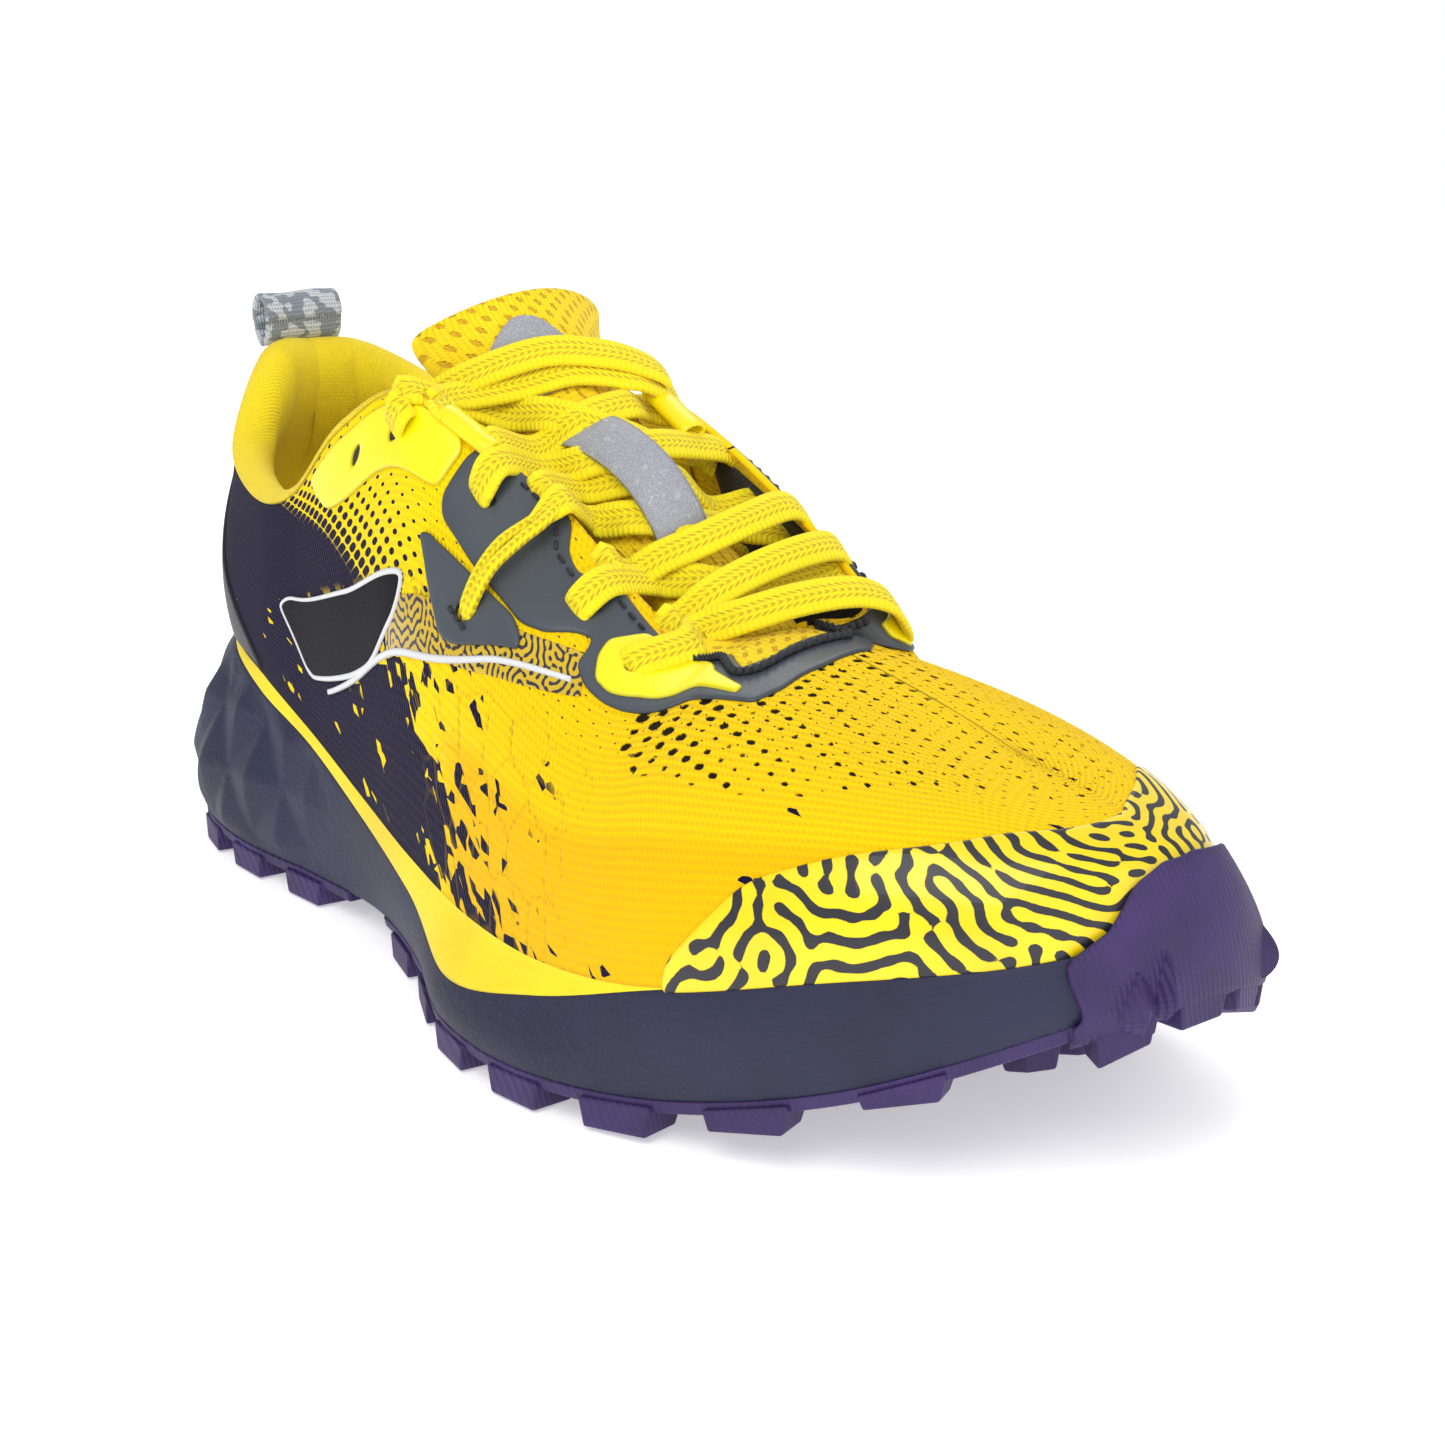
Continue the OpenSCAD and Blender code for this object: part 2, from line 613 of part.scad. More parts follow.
heel_outsole();
forefoot_outsole();
midsole();
midsole_top_layer();
heel_clip();
strobel_board();
insole();
upper_mesh();
heel_counter();
collar_foam();
collar_lining();
toe_puff();
toe_overlay();
eyestay_overlay();
eyestay_lining();
outer_wing();
inner_wing();
outer_collar_patch();
inner_collar_patch();
outer_toe_patch();
inner_toe_patch();
outer_saddle_film();
inner_saddle_film();
heel_film();
tongue_face();
tongue_foam();
tongue_lining();
tongue_badge();
lace_keeper();
heel_pull_loop();
lace();
outer_lace_end();
inner_lace_end();
outer_aglet();
inner_aglet();
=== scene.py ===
"""Looks of a trail running shoe, right foot, built around its CAD frame.

Shapes are drawn in millimetres on the shoe's own curves and then placed in the frame. A place on
the upper is a station, counted round the shoe from the heel (0) over the outer side to the toe (12)
and back over the inner side (24), and a height from 0 at the sole to 1 at the top edge.
"""
import math

import bmesh
import bpy
import numpy as np
from mathutils import Matrix, Vector
from mathutils.geometry import delaunay_2d_cdt


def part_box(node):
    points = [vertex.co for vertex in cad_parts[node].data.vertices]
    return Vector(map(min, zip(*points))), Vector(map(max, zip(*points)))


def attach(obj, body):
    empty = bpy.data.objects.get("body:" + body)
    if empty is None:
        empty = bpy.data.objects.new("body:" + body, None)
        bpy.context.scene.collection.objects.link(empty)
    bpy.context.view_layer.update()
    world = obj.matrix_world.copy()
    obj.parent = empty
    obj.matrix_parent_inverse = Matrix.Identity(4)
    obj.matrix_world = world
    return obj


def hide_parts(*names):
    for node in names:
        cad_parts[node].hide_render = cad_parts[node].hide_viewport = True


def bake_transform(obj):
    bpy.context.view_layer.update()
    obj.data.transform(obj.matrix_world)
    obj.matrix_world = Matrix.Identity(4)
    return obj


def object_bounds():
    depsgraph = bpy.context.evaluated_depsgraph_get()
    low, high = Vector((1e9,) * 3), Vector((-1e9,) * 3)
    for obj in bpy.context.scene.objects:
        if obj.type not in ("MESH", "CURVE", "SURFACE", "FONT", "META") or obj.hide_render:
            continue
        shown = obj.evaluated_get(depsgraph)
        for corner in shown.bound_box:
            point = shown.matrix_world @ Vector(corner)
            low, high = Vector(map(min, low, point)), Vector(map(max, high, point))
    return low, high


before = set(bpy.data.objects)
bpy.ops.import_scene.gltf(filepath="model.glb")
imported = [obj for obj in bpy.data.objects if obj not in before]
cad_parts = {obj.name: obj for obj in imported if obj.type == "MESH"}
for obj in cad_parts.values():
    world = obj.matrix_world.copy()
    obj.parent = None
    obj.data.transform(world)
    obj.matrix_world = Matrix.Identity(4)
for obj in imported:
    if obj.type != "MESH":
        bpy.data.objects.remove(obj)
CAD_LOW, CAD_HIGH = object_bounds()

# ---------------------------------------------------------------- shape of the shoe

DRAWN_LENGTH = 306.8
CENTRE = np.array([147.5, -5.15, 0.0])
MM = (CAD_HIGH.x - CAD_LOW.x) / DRAWN_LENGTH      # metres of the frame in a drawn millimetre
HALF = 12                                         # station of the toe
RIDGE = 9                                         # station where the vamp closes
STATION = 27.0                                    # millimetres along a station, on average
RISE = 62.0                                       # millimetres from the sole to the top edge

# Stations from heel to toe: x, outer y, inner y, outer z, inner z of the feather line
FEATHER_ROWS = [
    [6, 0, 0, 52, 52], [11, -17, 17, 51, 51], [25, -29, 28, 48, 48], [50, -35, 33, 44.5, 45],
    [78, -38, 32, 37.5, 40], [106, -42, 31, 31, 36], [136, -48, 33, 27, 33],
    [166, -53.5, 38, 25, 31], [196, -56, 44, 25.5, 30], [225, -53, 46, 29, 31],
    [254, -40, 43.5, 36, 36.5], [280, -19, 28, 41.5, 41.5], [291, 8, 8, 45, 45]]
# The same for the bottom edge of the midsole
TREAD_ROWS = [
    [-2, 0, 0, 14, 14], [3, -22, 22, 11, 11], [19, -37, 36, 7.5, 7.5], [46, -42, 39, 6.5, 6.5],
    [78, -40.5, 35, 6.5, 6.5], [108, -41, 33, 6.5, 6.5], [138, -49, 35, 6.5, 6.5],
    [168, -61, 42, 6.5, 6.5], [198, -62, 50, 6.5, 6.5], [228, -52, 53, 8.5, 8.5],
    [259, -36.5, 48, 17, 17], [285, -12, 32, 30, 30], [293.5, 10.5, 10.5, 36, 36]]
OUTER_RIM = [[9, 0, 111], [13, -12, 110], [22, -25, 92], [50, -34, 85.5], [72, -36, 90],
             [95, -36, 107], [118, -31, 116], [150, -21, 99], [184, -16, 78], [194.5, 4, 76.3]]
INNER_RIM = [[9, 0, 111], [13, 13, 110], [24, 25, 103], [50, 33, 92], [72, 36, 93],
             [95, 35, 102], [120, 29, 108], [160, 21, 100], [195.5, 20, 80.5], [194.5, 4, 76.3]]
RIDGE_LINE = [[194.5, 4, 76.3], [212, 4.5, 74], [234, 4.5, 70.5], [254, 5, 66]]
OUTER_SHAPE = dict(
    rise=[.45, .45, .45, .45, .45, .45, .5, .55, .62, .66, .7, .72, .75],
    swell=[6, 6, 5, 3, 2, 3, 3, 3, 3, 3, 3, 3, 3],
    crown=[0, 0, .1, .2, .25, .3, .45, .5, .5, .5, .5, .5, .5],
    drop=[.3, .3, .25, .25, .25, .3, .22, .18, .1, 0, 0, 0, 0],
    flare=[9, 9, 7, 4.5, 3, 2.5, 2.5, 2.5, 2.5, 2.5, 2.5, 2.5, 2.5],
    seam=[.99, .985, .97, .91, .91, .84, .71, .45, .7, .97, .99, .995, .995])
INNER_SHAPE = dict(
    OUTER_SHAPE,
    rise=[.45, .45, .45, .45, .45, .42, .4, .4, .42, .48, .55, .62, .75],
    swell=[6, 6, 5, 3, 2, 2, 1, 0, 0, 0, 1, 2, 3],
    crown=[0, 0, .1, .2, .25, .3, .3, .3, .3, .3, .35, .42, .5],
    drop=[.3, .3, .25, .25, .25, .3, .25, .2, .1, 0, 0, 0, 0])


def spline(rows, t, closed=False):
    """Smooth curve through rows at place t, on an open or a closed row of values."""
    rows = np.asarray(rows, float)
    count = len(rows)
    t = np.asarray(t, float)
    if not closed:
        t = np.clip(t, 0, count - 1)
    i = np.floor(t).astype(int)
    if not closed:
        i = np.minimum(i, count - 2)
    f = t - i
    if rows.ndim > 1:
        f = f[..., None]

    def row(k):
        return rows[(i + k) % count] if closed else rows[np.clip(i + k, 0, count - 1)]

    a, b, c, d = row(-1), row(0), row(1), row(2)
    return 0.5 * (2 * b + (c - a) * f + (2 * a - 5 * b + 4 * c - d) * f ** 2
                  + (3 * b - a - 3 * c + d) * f ** 3)


def both(outer, inner):
    """Closed row from the outer and the inner side."""
    return np.array(list(outer) + list(inner)[-2:0:-1], float)


FEATHER = both([[r[0], r[1], r[3]] for r in FEATHER_ROWS], [[r[0], r[2], r[4]] for r in FEATHER_ROWS])
TREAD = both([[r[0], r[1], r[3]] for r in TREAD_ROWS], [[r[0], r[2], r[4]] for r in TREAD_ROWS])
SHAPE = {key: both(OUTER_SHAPE[key], INNER_SHAPE[key]) for key in OUTER_SHAPE}


def ease(x):
    """Smooth step from 0 at 0 to 1 at 1."""
    x = np.clip(x, 0, 1)
    return x * x * (3 - 2 * x)


def unit(v):
    return v / np.maximum(np.linalg.norm(v, axis=-1, keepdims=True), 1e-9)


def bezier(a, b, c, d, t):
    """Point of a cubic curve from a to d, pulled to b and c."""
    return (1 - t) ** 3 * a + 3 * (1 - t) ** 2 * t * b + 3 * (1 - t) * t * t * c + t ** 3 * d


def from_heel(u):
    """Station counted from the heel on either side, and the side: -1 outer, 1 inner."""
    u = np.asarray(u, float) % (2 * HALF)
    return np.where(u > HALF, 2 * HALF - u, u), np.where(u > HALF, 1.0, -1.0)


def top_edge(u):
    """Point of the collar rim, or of the ridge where the vamp closes."""
    s, side = from_heel(u)
    rim = np.where((side < 0)[..., None], spline(OUTER_RIM, s), spline(INNER_RIM, s))
    return np.where((s >= RIDGE)[..., None], spline(RIDGE_LINE, s - RIDGE), rim)


def ridge_fall(s):
    """Slope of the vamp's ridge."""
    t = np.clip(s - RIDGE, 0.1, 2.9)
    d = spline(RIDGE_LINE, t + 0.1) - spline(RIDGE_LINE, t - 0.1)
    return d[..., 2] / d[..., 0]


def outward(u):
    """Horizontal direction out of the shoe at the feather line."""
    u = np.asarray(u, float)
    d = spline(FEATHER, u + 0.01, True) - spline(FEATHER, u - 0.01, True)
    return unit(np.stack([d[..., 1], -d[..., 0], 0 * d[..., 0]], -1))


def upper(u, v):
    """Point of the upper's outer face."""
    u, v = np.broadcast_arrays(np.asarray(u, float), np.asarray(v, float))
    s, side = from_heel(u)
    foot = spline(FEATHER, u, True)
    top = top_edge(u)
    back = foot - top
    tall = -back[..., 2:3]
    plan = back * [1, 1, 0]
    run = np.linalg.norm(plan, axis=-1, keepdims=True)
    turn = (ease(s - 8) * (1 - ease(s - 11)))[..., None]
    across = np.stack([0 * side, side, 0 * side], -1)
    away = unit(plan / np.maximum(run, 1e-6) * (1 - turn) + across * turn)
    tilt = away[..., 0] * ridge_fall(s) * ease(s - 8)
    leave = away + np.stack([0 * tilt, 0 * tilt, tilt], -1)
    up = np.array([0, 0, 1.0])
    share = {key: spline(SHAPE[key], u, True)[..., None] for key in ("rise", "swell", "crown", "drop")}
    low = foot + up * tall * share["rise"] + outward(u) * share["swell"]
    high = top + leave * run * share["crown"] - up * tall * share["drop"]
    return bezier(foot, low, high, top, v[..., None])


def upper_normal(u, v):
    """Direction out of the upper's outer face."""
    u, v = np.broadcast_arrays(np.asarray(u, float), np.asarray(v, float))
    e = 0.01
    along = upper(u + e, v) - upper(u - e, v)
    rising = upper(u, np.minimum(v + e, 1)) - upper(u, np.maximum(v - e, 0))
    n = unit(np.cross(along, rising))
    s, _ = from_heel(u)
    fall = ridge_fall(s)
    flat = unit(np.stack([-fall, 0 * fall, 0 * fall + 1], -1))
    return np.where(((s > RIDGE) & (v > 1 - e))[..., None], flat, n)


def skin(u, v, lift=0.0):
    """Point at a distance outside the upper's outer face."""
    return upper(u, v) + upper_normal(u, v) * np.asarray(lift, float)[..., None]


def wall(u, w, lift=0.0):
    """Point of the midsole's side wall, w from 0 at the tread to 1 at the feather line."""
    u, w = np.broadcast_arrays(np.asarray(u, float), np.asarray(w, float))
    low = spline(TREAD, u, True)
    high = spline(FEATHER, u, True)
    tall = (high - low)[..., 2:3]
    up = np.array([0, 0, 1.0])
    out = outward(u)
    push = out * spline(SHAPE["flare"], u, True)[..., None]
    point = bezier(low, low + up * 0.3 * tall + push, high - up * 0.3 * tall + push, high, w[..., None])
    return point + out * np.asarray(lift, float)[..., None]


TONGUE_SPINE = [[190, 75], [170, 88], [150, 102], [130, 117], [118, 128], [113, 134]]
TONGUE_Y = 1.0
TONGUE_WIDTH = (25.0, 54.0)                       # at the base and at the top
TONGUE_FALL = (3.0, 16.0)                         # how far the edges fall, base and top


def tongue(t, side, lift=0.0):
    """Point of the tongue: t along it, side from -1 to 1 across it, lift above its face."""
    t, side, lift = np.broadcast_arrays(*(np.asarray(a, float) for a in (t, side, lift)))
    last = len(TONGUE_SPINE) - 1
    c = spline(TONGUE_SPINE, t * last)
    ahead, behind = np.minimum(t + 0.01, 1), np.maximum(t - 0.01, 0)
    d = spline(TONGUE_SPINE, ahead * last) - spline(TONGUE_SPINE, behind * last)
    out = unit(np.stack([d[..., 1], 0 * t, -d[..., 0]], -1))
    wide = TONGUE_WIDTH[0] + (TONGUE_WIDTH[1] - TONGUE_WIDTH[0]) * t ** 3
    fall = (TONGUE_FALL[0] + (TONGUE_FALL[1] - TONGUE_FALL[0]) * t) * side ** 2
    point = np.stack([c[..., 0], TONGUE_Y + side * wide / 2, c[..., 1]], -1)
    return point + out * (lift - fall)[..., None]


def place(points):
    """Drawn millimetres to metres of the frame."""
    return (np.asarray(points, float) - CENTRE) * MM


# ---------------------------------------------------------------- meshes


def make(name, points, faces, material, body="shoe", stands_for=(), uv=None, fields=None,
         smooth=True, slot=None):
    """Mesh piece from drawn points. uv holds pattern coordinates in millimetres per point, and
    fields named values per point."""
    mesh = bpy.data.meshes.new(name)
    mesh.from_pydata(place(points).tolist(), [], [list(map(int, f)) for f in faces])
    mesh.materials.append(material)
    if uv is not None:
        layer = mesh.uv_layers.new(name="mm")
        corner = np.zeros(len(mesh.loops), np.int32)
        mesh.loops.foreach_get("vertex_index", corner)
        layer.data.foreach_set("uv", np.asarray(uv, np.float32)[corner].ravel())
    for key, values in (fields or {}).items():
        mesh.attributes.new(key, "FLOAT", "POINT").data.foreach_set("value", np.asarray(values, np.float32))
    build = bmesh.new()
    build.from_mesh(mesh)
    bmesh.ops.recalc_face_normals(build, faces=build.faces)
    build.to_mesh(mesh)
    build.free()
    mesh.polygons.foreach_set("use_smooth", [smooth] * len(mesh.polygons))
    mesh.validate()
    piece = bpy.data.objects.new(name, mesh)
    bpy.context.scene.collection.objects.link(piece)
    if body:
        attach(piece, body)
    if stands_for:
        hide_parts(*stands_for)
    return piece


def lattice(rows, cols, closed=False):
    """Quads of a grid of points numbered row by row."""
    j, i = np.meshgrid(np.arange(rows - 1), np.arange(cols if closed else cols - 1), indexing="ij")
    k = (i + 1) % cols
    return np.stack([j * cols + i, j * cols + k, (j + 1) * cols + k, (j + 1) * cols + i], -1).reshape(-1, 4)


def loft(rings):
    """Points and faces of a closed skin through long rings, with caps of quads across them."""
    rings = np.asarray(rings, float)
    rows, cols = rings.shape[:2]
    faces = lattice(rows, cols, True).tolist()
    for start in (0, (rows - 1) * cols):
        faces += [[start + i, start + i + 1, start + cols - 2 - i, start + cols - 1 - i]
                  for i in range(cols // 2 - 1)]
    return rings.reshape(-1, 3), faces


def loft_rows(sections):
    """Points and faces of a closed bar through cross-sections, with flat ends."""
    sections = np.asarray(sections, float)
    rows, cols = sections.shape[:2]
    faces = lattice(rows, cols, True).tolist()
    faces += [list(range(cols))[::-1], list(range((rows - 1) * cols, rows * cols))]
    return sections.reshape(-1, 3), faces


def rounded(corners, radius=2.0, spacing=0.8):
    """Closed outline through corners with round corners, as points at about even spacing."""
    corners = np.asarray(corners, float)
    count = len(corners)
    points = []
    for i in range(count):
        before, here, after = corners[i - 1], corners[i], corners[(i + 1) % count]
        a, b = before - here, after - here
        la, lb = np.linalg.norm(a), np.linalg.norm(b)
        cut = min(radius, 0.45 * la, 0.45 * lb)
        p, q = here + a / la * cut, here + b / lb * cut
        points += [(1 - f) ** 2 * p + 2 * f * (1 - f) * here + f * f * q for f in np.linspace(0, 1, ROUND)]
    points = np.array(points)
    result = []
    for i in range(len(points)):
        a, b = points[i], points[(i + 1) % len(points)]
        steps = max(1, int(round(np.linalg.norm(b - a) / spacing)))
        result += [a + (b - a) * k / steps for k in range(steps)]
    result = np.array(result)
    apart = np.linalg.norm(result - np.roll(result, 1, 0), axis=1)
    return result[apart > 0.05]


def edge_distance(points, outline):
    """Distance of each point from a closed outline."""
    best = np.full(len(points), 1e9)
    for a, b in zip(outline, np.roll(outline, -1, 0)):
        d = b - a
        t = np.clip(((points - a) @ d) / max(d @ d, 1e-12), 0, 1)
        best = np.minimum(best, np.linalg.norm(points - a - t[:, None] * d, axis=1))
    return best


def inside(points, outline):
    """Whether each point lies inside a closed outline."""
    x, y = points[:, 0], points[:, 1]
    hits = np.zeros(len(points), bool)
    for (ax, ay), (bx, by) in zip(outline, np.roll(outline, -1, 0)):
        crosses = (ay > y) != (by > y)
        at = (bx - ax) * (y - ay) / (by - ay if by != ay else 1e-12) + ax
        hits ^= crosses & (x < at)
    return hits


FILM_DEPTH = 0.5                                  # how far a film reaches below its base
ROUND = 5                                         # points on a round corner


def left_of(outline):
    """Direction to the left of an outline at each of its points."""
    ahead = unit(np.roll(outline, -1, 0) - np.roll(outline, 1, 0))
    return np.stack([-ahead[:, 1], ahead[:, 0]], -1)


def film(name, outline, surface, material, base, thick, spacing=1.5, edge=0.5, radius=2.0, holes=(),
         fields=None, **options):
    """Thin raised sheet inside an outline drawn in pattern millimetres, with soft edges. surface
    gives a point for pattern coordinates and a height. holes are outlines cut out of it."""
    loops = [rounded(outline, radius, min(spacing, 0.9))]
    loops += [rounded(h, 0.6, 0.5) for h in holes]
    low, high = loops[0].min(0), loops[0].max(0)
    gx, gy = np.meshgrid(np.arange(low[0], high[0], spacing), np.arange(low[1], high[1], spacing))
    gx = gx + (np.arange(gy.shape[0]) % 2)[:, None] * spacing / 2
    grid = np.stack([gx.ravel(), gy.ravel()], -1)
    ring = np.concatenate([points + sign * inset * left_of(points) for inset in (0.45 * edge, edge)
                           for points in loops for sign in (1, -1)])

    def depth_of(p):
        d = np.min([edge_distance(p, loop) for loop in loops], 0)
        within = inside(p, loops[0])
        for loop in loops[1:]:
            within &= ~inside(p, loop)
        return np.where(within, d, -d)

    ring = ring[depth_of(ring) > 0.4 * edge]
    grid = grid[depth_of(grid) > edge + 0.3 * spacing]
    links = []
    start = 0
    for loop in loops:
        links += [(start + i, start + (i + 1) % len(loop)) for i in range(len(loop))]
        start += len(loop)
    every = np.concatenate(loops + [ring, grid])
    flat, _, triangles, _, _, _ = delaunay_2d_cdt([Vector(p) for p in every], links, [], 0, 1e-5)
    flat = np.array([list(p) for p in flat])
    triangles = np.array(triangles)
    keep = depth_of(flat[triangles].mean(1)) > 0
    triangles = triangles[keep]
    used = np.unique(triangles)
    number = np.full(len(flat), -1)
    number[used] = np.arange(len(used))
    flat, triangles = flat[used], number[triangles]
    d = np.maximum(depth_of(flat), 0)
    height = base + thick * (0.35 + 0.65 * np.sqrt(ease(d / edge)))
    top = surface(flat[:, 0], flat[:, 1], height)
    bottom = surface(flat[:, 0], flat[:, 1], np.full(len(flat), base - FILM_DEPTH))
    count = len(flat)
    sides = {}
    for tri in triangles:
        for a, b in zip(tri, np.roll(tri, -1)):
            key = (min(a, b), max(a, b))
            sides[key] = None if key in sides else (a, b)
    faces = triangles.tolist() + (triangles[:, ::-1] + count).tolist()
    faces += [[b, a, a + count, b + count] for a, b in (s for s in sides.values() if s)]
    values = {"rim": np.concatenate([d, 0 * d])}
    for key, f in (fields or {}).items():
        values[key] = np.tile(f(flat), 2)
    return make(name, np.concatenate([top, bottom]), faces, material, uv=np.tile(flat, (2, 1)),
                fields=values, **options)


def on_wrap(x, y, lift):
    """Pattern millimetres running round the upper."""
    return skin(x / STATION, y / RISE, lift)


def on_throat(x, y, lift):
    """Pattern millimetres about the throat: y is below 0 on the outer side, above 0 on the inner."""
    s = x / STATION
    return skin(np.where(y < 0, s, 2 * HALF - s), 1 - np.abs(y) / RISE, lift)


def on_tongue(x, y, lift):
    return tongue(x / 80, y / 20, lift)


def wrap(corners, inner=False):
    """Pattern corners from (station from the heel, height), on the outer or the inner side."""
    return [((2 * HALF - s if inner else s) * STATION, v * RISE) for s, v in corners]


def throat(corners, side=-1):
    """Pattern corners about the throat from (station, height), on the outer (-1) or inner (1) side."""
    return [(s * STATION, side * (1 - v) * RISE) for s, v in corners]


def stitches(name, path, surface, material, lift, body="shoe", length=2.4, gap=1.0, size=0.38):
    """Row of thread stitches along a pattern path."""
    path = np.asarray(path, float)
    steps = np.linalg.norm(np.diff(path, axis=0), axis=1)
    total = np.concatenate([[0], np.cumsum(steps)])
    points, faces = [], []
    place_at = 0.5
    ring = np.linspace(0, 2 * math.pi, 6, endpoint=False)
    while place_at + length < total[-1]:
        shares = place_at + length * np.array([0, 0.12, 0.5, 0.88, 1.0])
        x = np.interp(shares, total, path[:, 0])
        y = np.interp(shares, total, path[:, 1])
        centre = surface(x, y, lift + size * np.array([-0.9, 0.3, 0.8, 0.3, -0.9]))
        above = surface(x, y, lift + 3.0)
        up = unit(above - centre)
        side = unit(np.cross(centre[-1] - centre[0], up))
        radius = size * np.array([0.5, 1, 1.1, 1, 0.5])
        rings = centre[:, None] + radius[:, None, None] * (
            np.cos(ring)[None, :, None] * side[:, None] + np.sin(ring)[None, :, None] * up[:, None])
        p, f = loft_rows(rings)
        faces += [[i + len(points) for i in face] for face in f]
        points += p.tolist()
        place_at += length + gap
    return make(name, points, faces, material, body)


# ---------------------------------------------------------------- labyrinth pattern


def labyrinth(seed, width, height, period, cell=0.4):
    """Field of winding stripes over an area in millimetres, above 0 on the dark lines. It grows
    from seeded noise by repeatedly keeping one stripe width and sharpening."""
    cols, rows = int(width / cell), int(height / cell)
    random = np.random.default_rng(seed)
    field = random.standard_normal((rows, cols))
    fy, fx = np.fft.fftfreq(rows, cell)[:, None], np.fft.fftfreq(cols, cell)[None, :]
    f = np.sqrt(fx ** 2 + fy ** 2) * period
    band = np.exp(-((f - 1) / 0.3) ** 2)
    for _ in range(9):
        field = np.real(np.fft.ifft2(np.fft.fft2(field) * band))
        field = np.tanh(2.5 * field / field.std() - 0.12)
    field = np.real(np.fft.ifft2(np.fft.fft2(field) * np.exp(-(f / 2.2) ** 2)))

    def sample(x, y):
        px, py = np.clip(x / cell, 0, cols - 1.01), np.clip(y / cell, 0, rows - 1.01)
        i, j = px.astype(int), py.astype(int)
        a, b = px - i, py - j
        return ((field[j, i] * (1 - a) + field[j, i + 1] * a) * (1 - b)
                + (field[j + 1, i] * (1 - a) + field[j + 1, i + 1] * a) * b)

    return sample


# ---------------------------------------------------------------- materials


def rgb(code, alpha=1.0):
    """Linear colour from a hexadecimal code."""
    parts = [int(code[i:i + 2], 16) / 255 for i in (1, 3, 5)]
    return [p / 12.92 if p <= 0.04045 else ((p + 0.055) / 1.055) ** 2.4 for p in parts] + [alpha]


class Value:
    """Number worked out by material nodes, with plain arithmetic."""

    def __init__(self, look, socket):
        self.look, self.socket = look, socket

    def __add__(self, other):
        return self.look.math("ADD", self, other)

    def __sub__(self, other):
        return self.look.math("SUBTRACT", self, other)

    def __rsub__(self, other):
        return self.look.math("SUBTRACT", other, self)

    def __mul__(self, other):
        return self.look.math("MULTIPLY", self, other)

    def __truediv__(self, other):
        return self.look.math("DIVIDE", self, other)

    def __pow__(self, other):
        return self.look.math("POWER", self, other)

    def __abs__(self):
        return self.look.math("ABSOLUTE", self)

    def __floor__(self):
        return self.look.math("FLOOR", self)

    def fract(self):
        return self.look.math("FRACT", self)

    def sine(self):
        return self.look.math("SINE", self)

    def root(self):
        return self.look.math("SQRT", self)

    __radd__, __rmul__ = __add__, __mul__


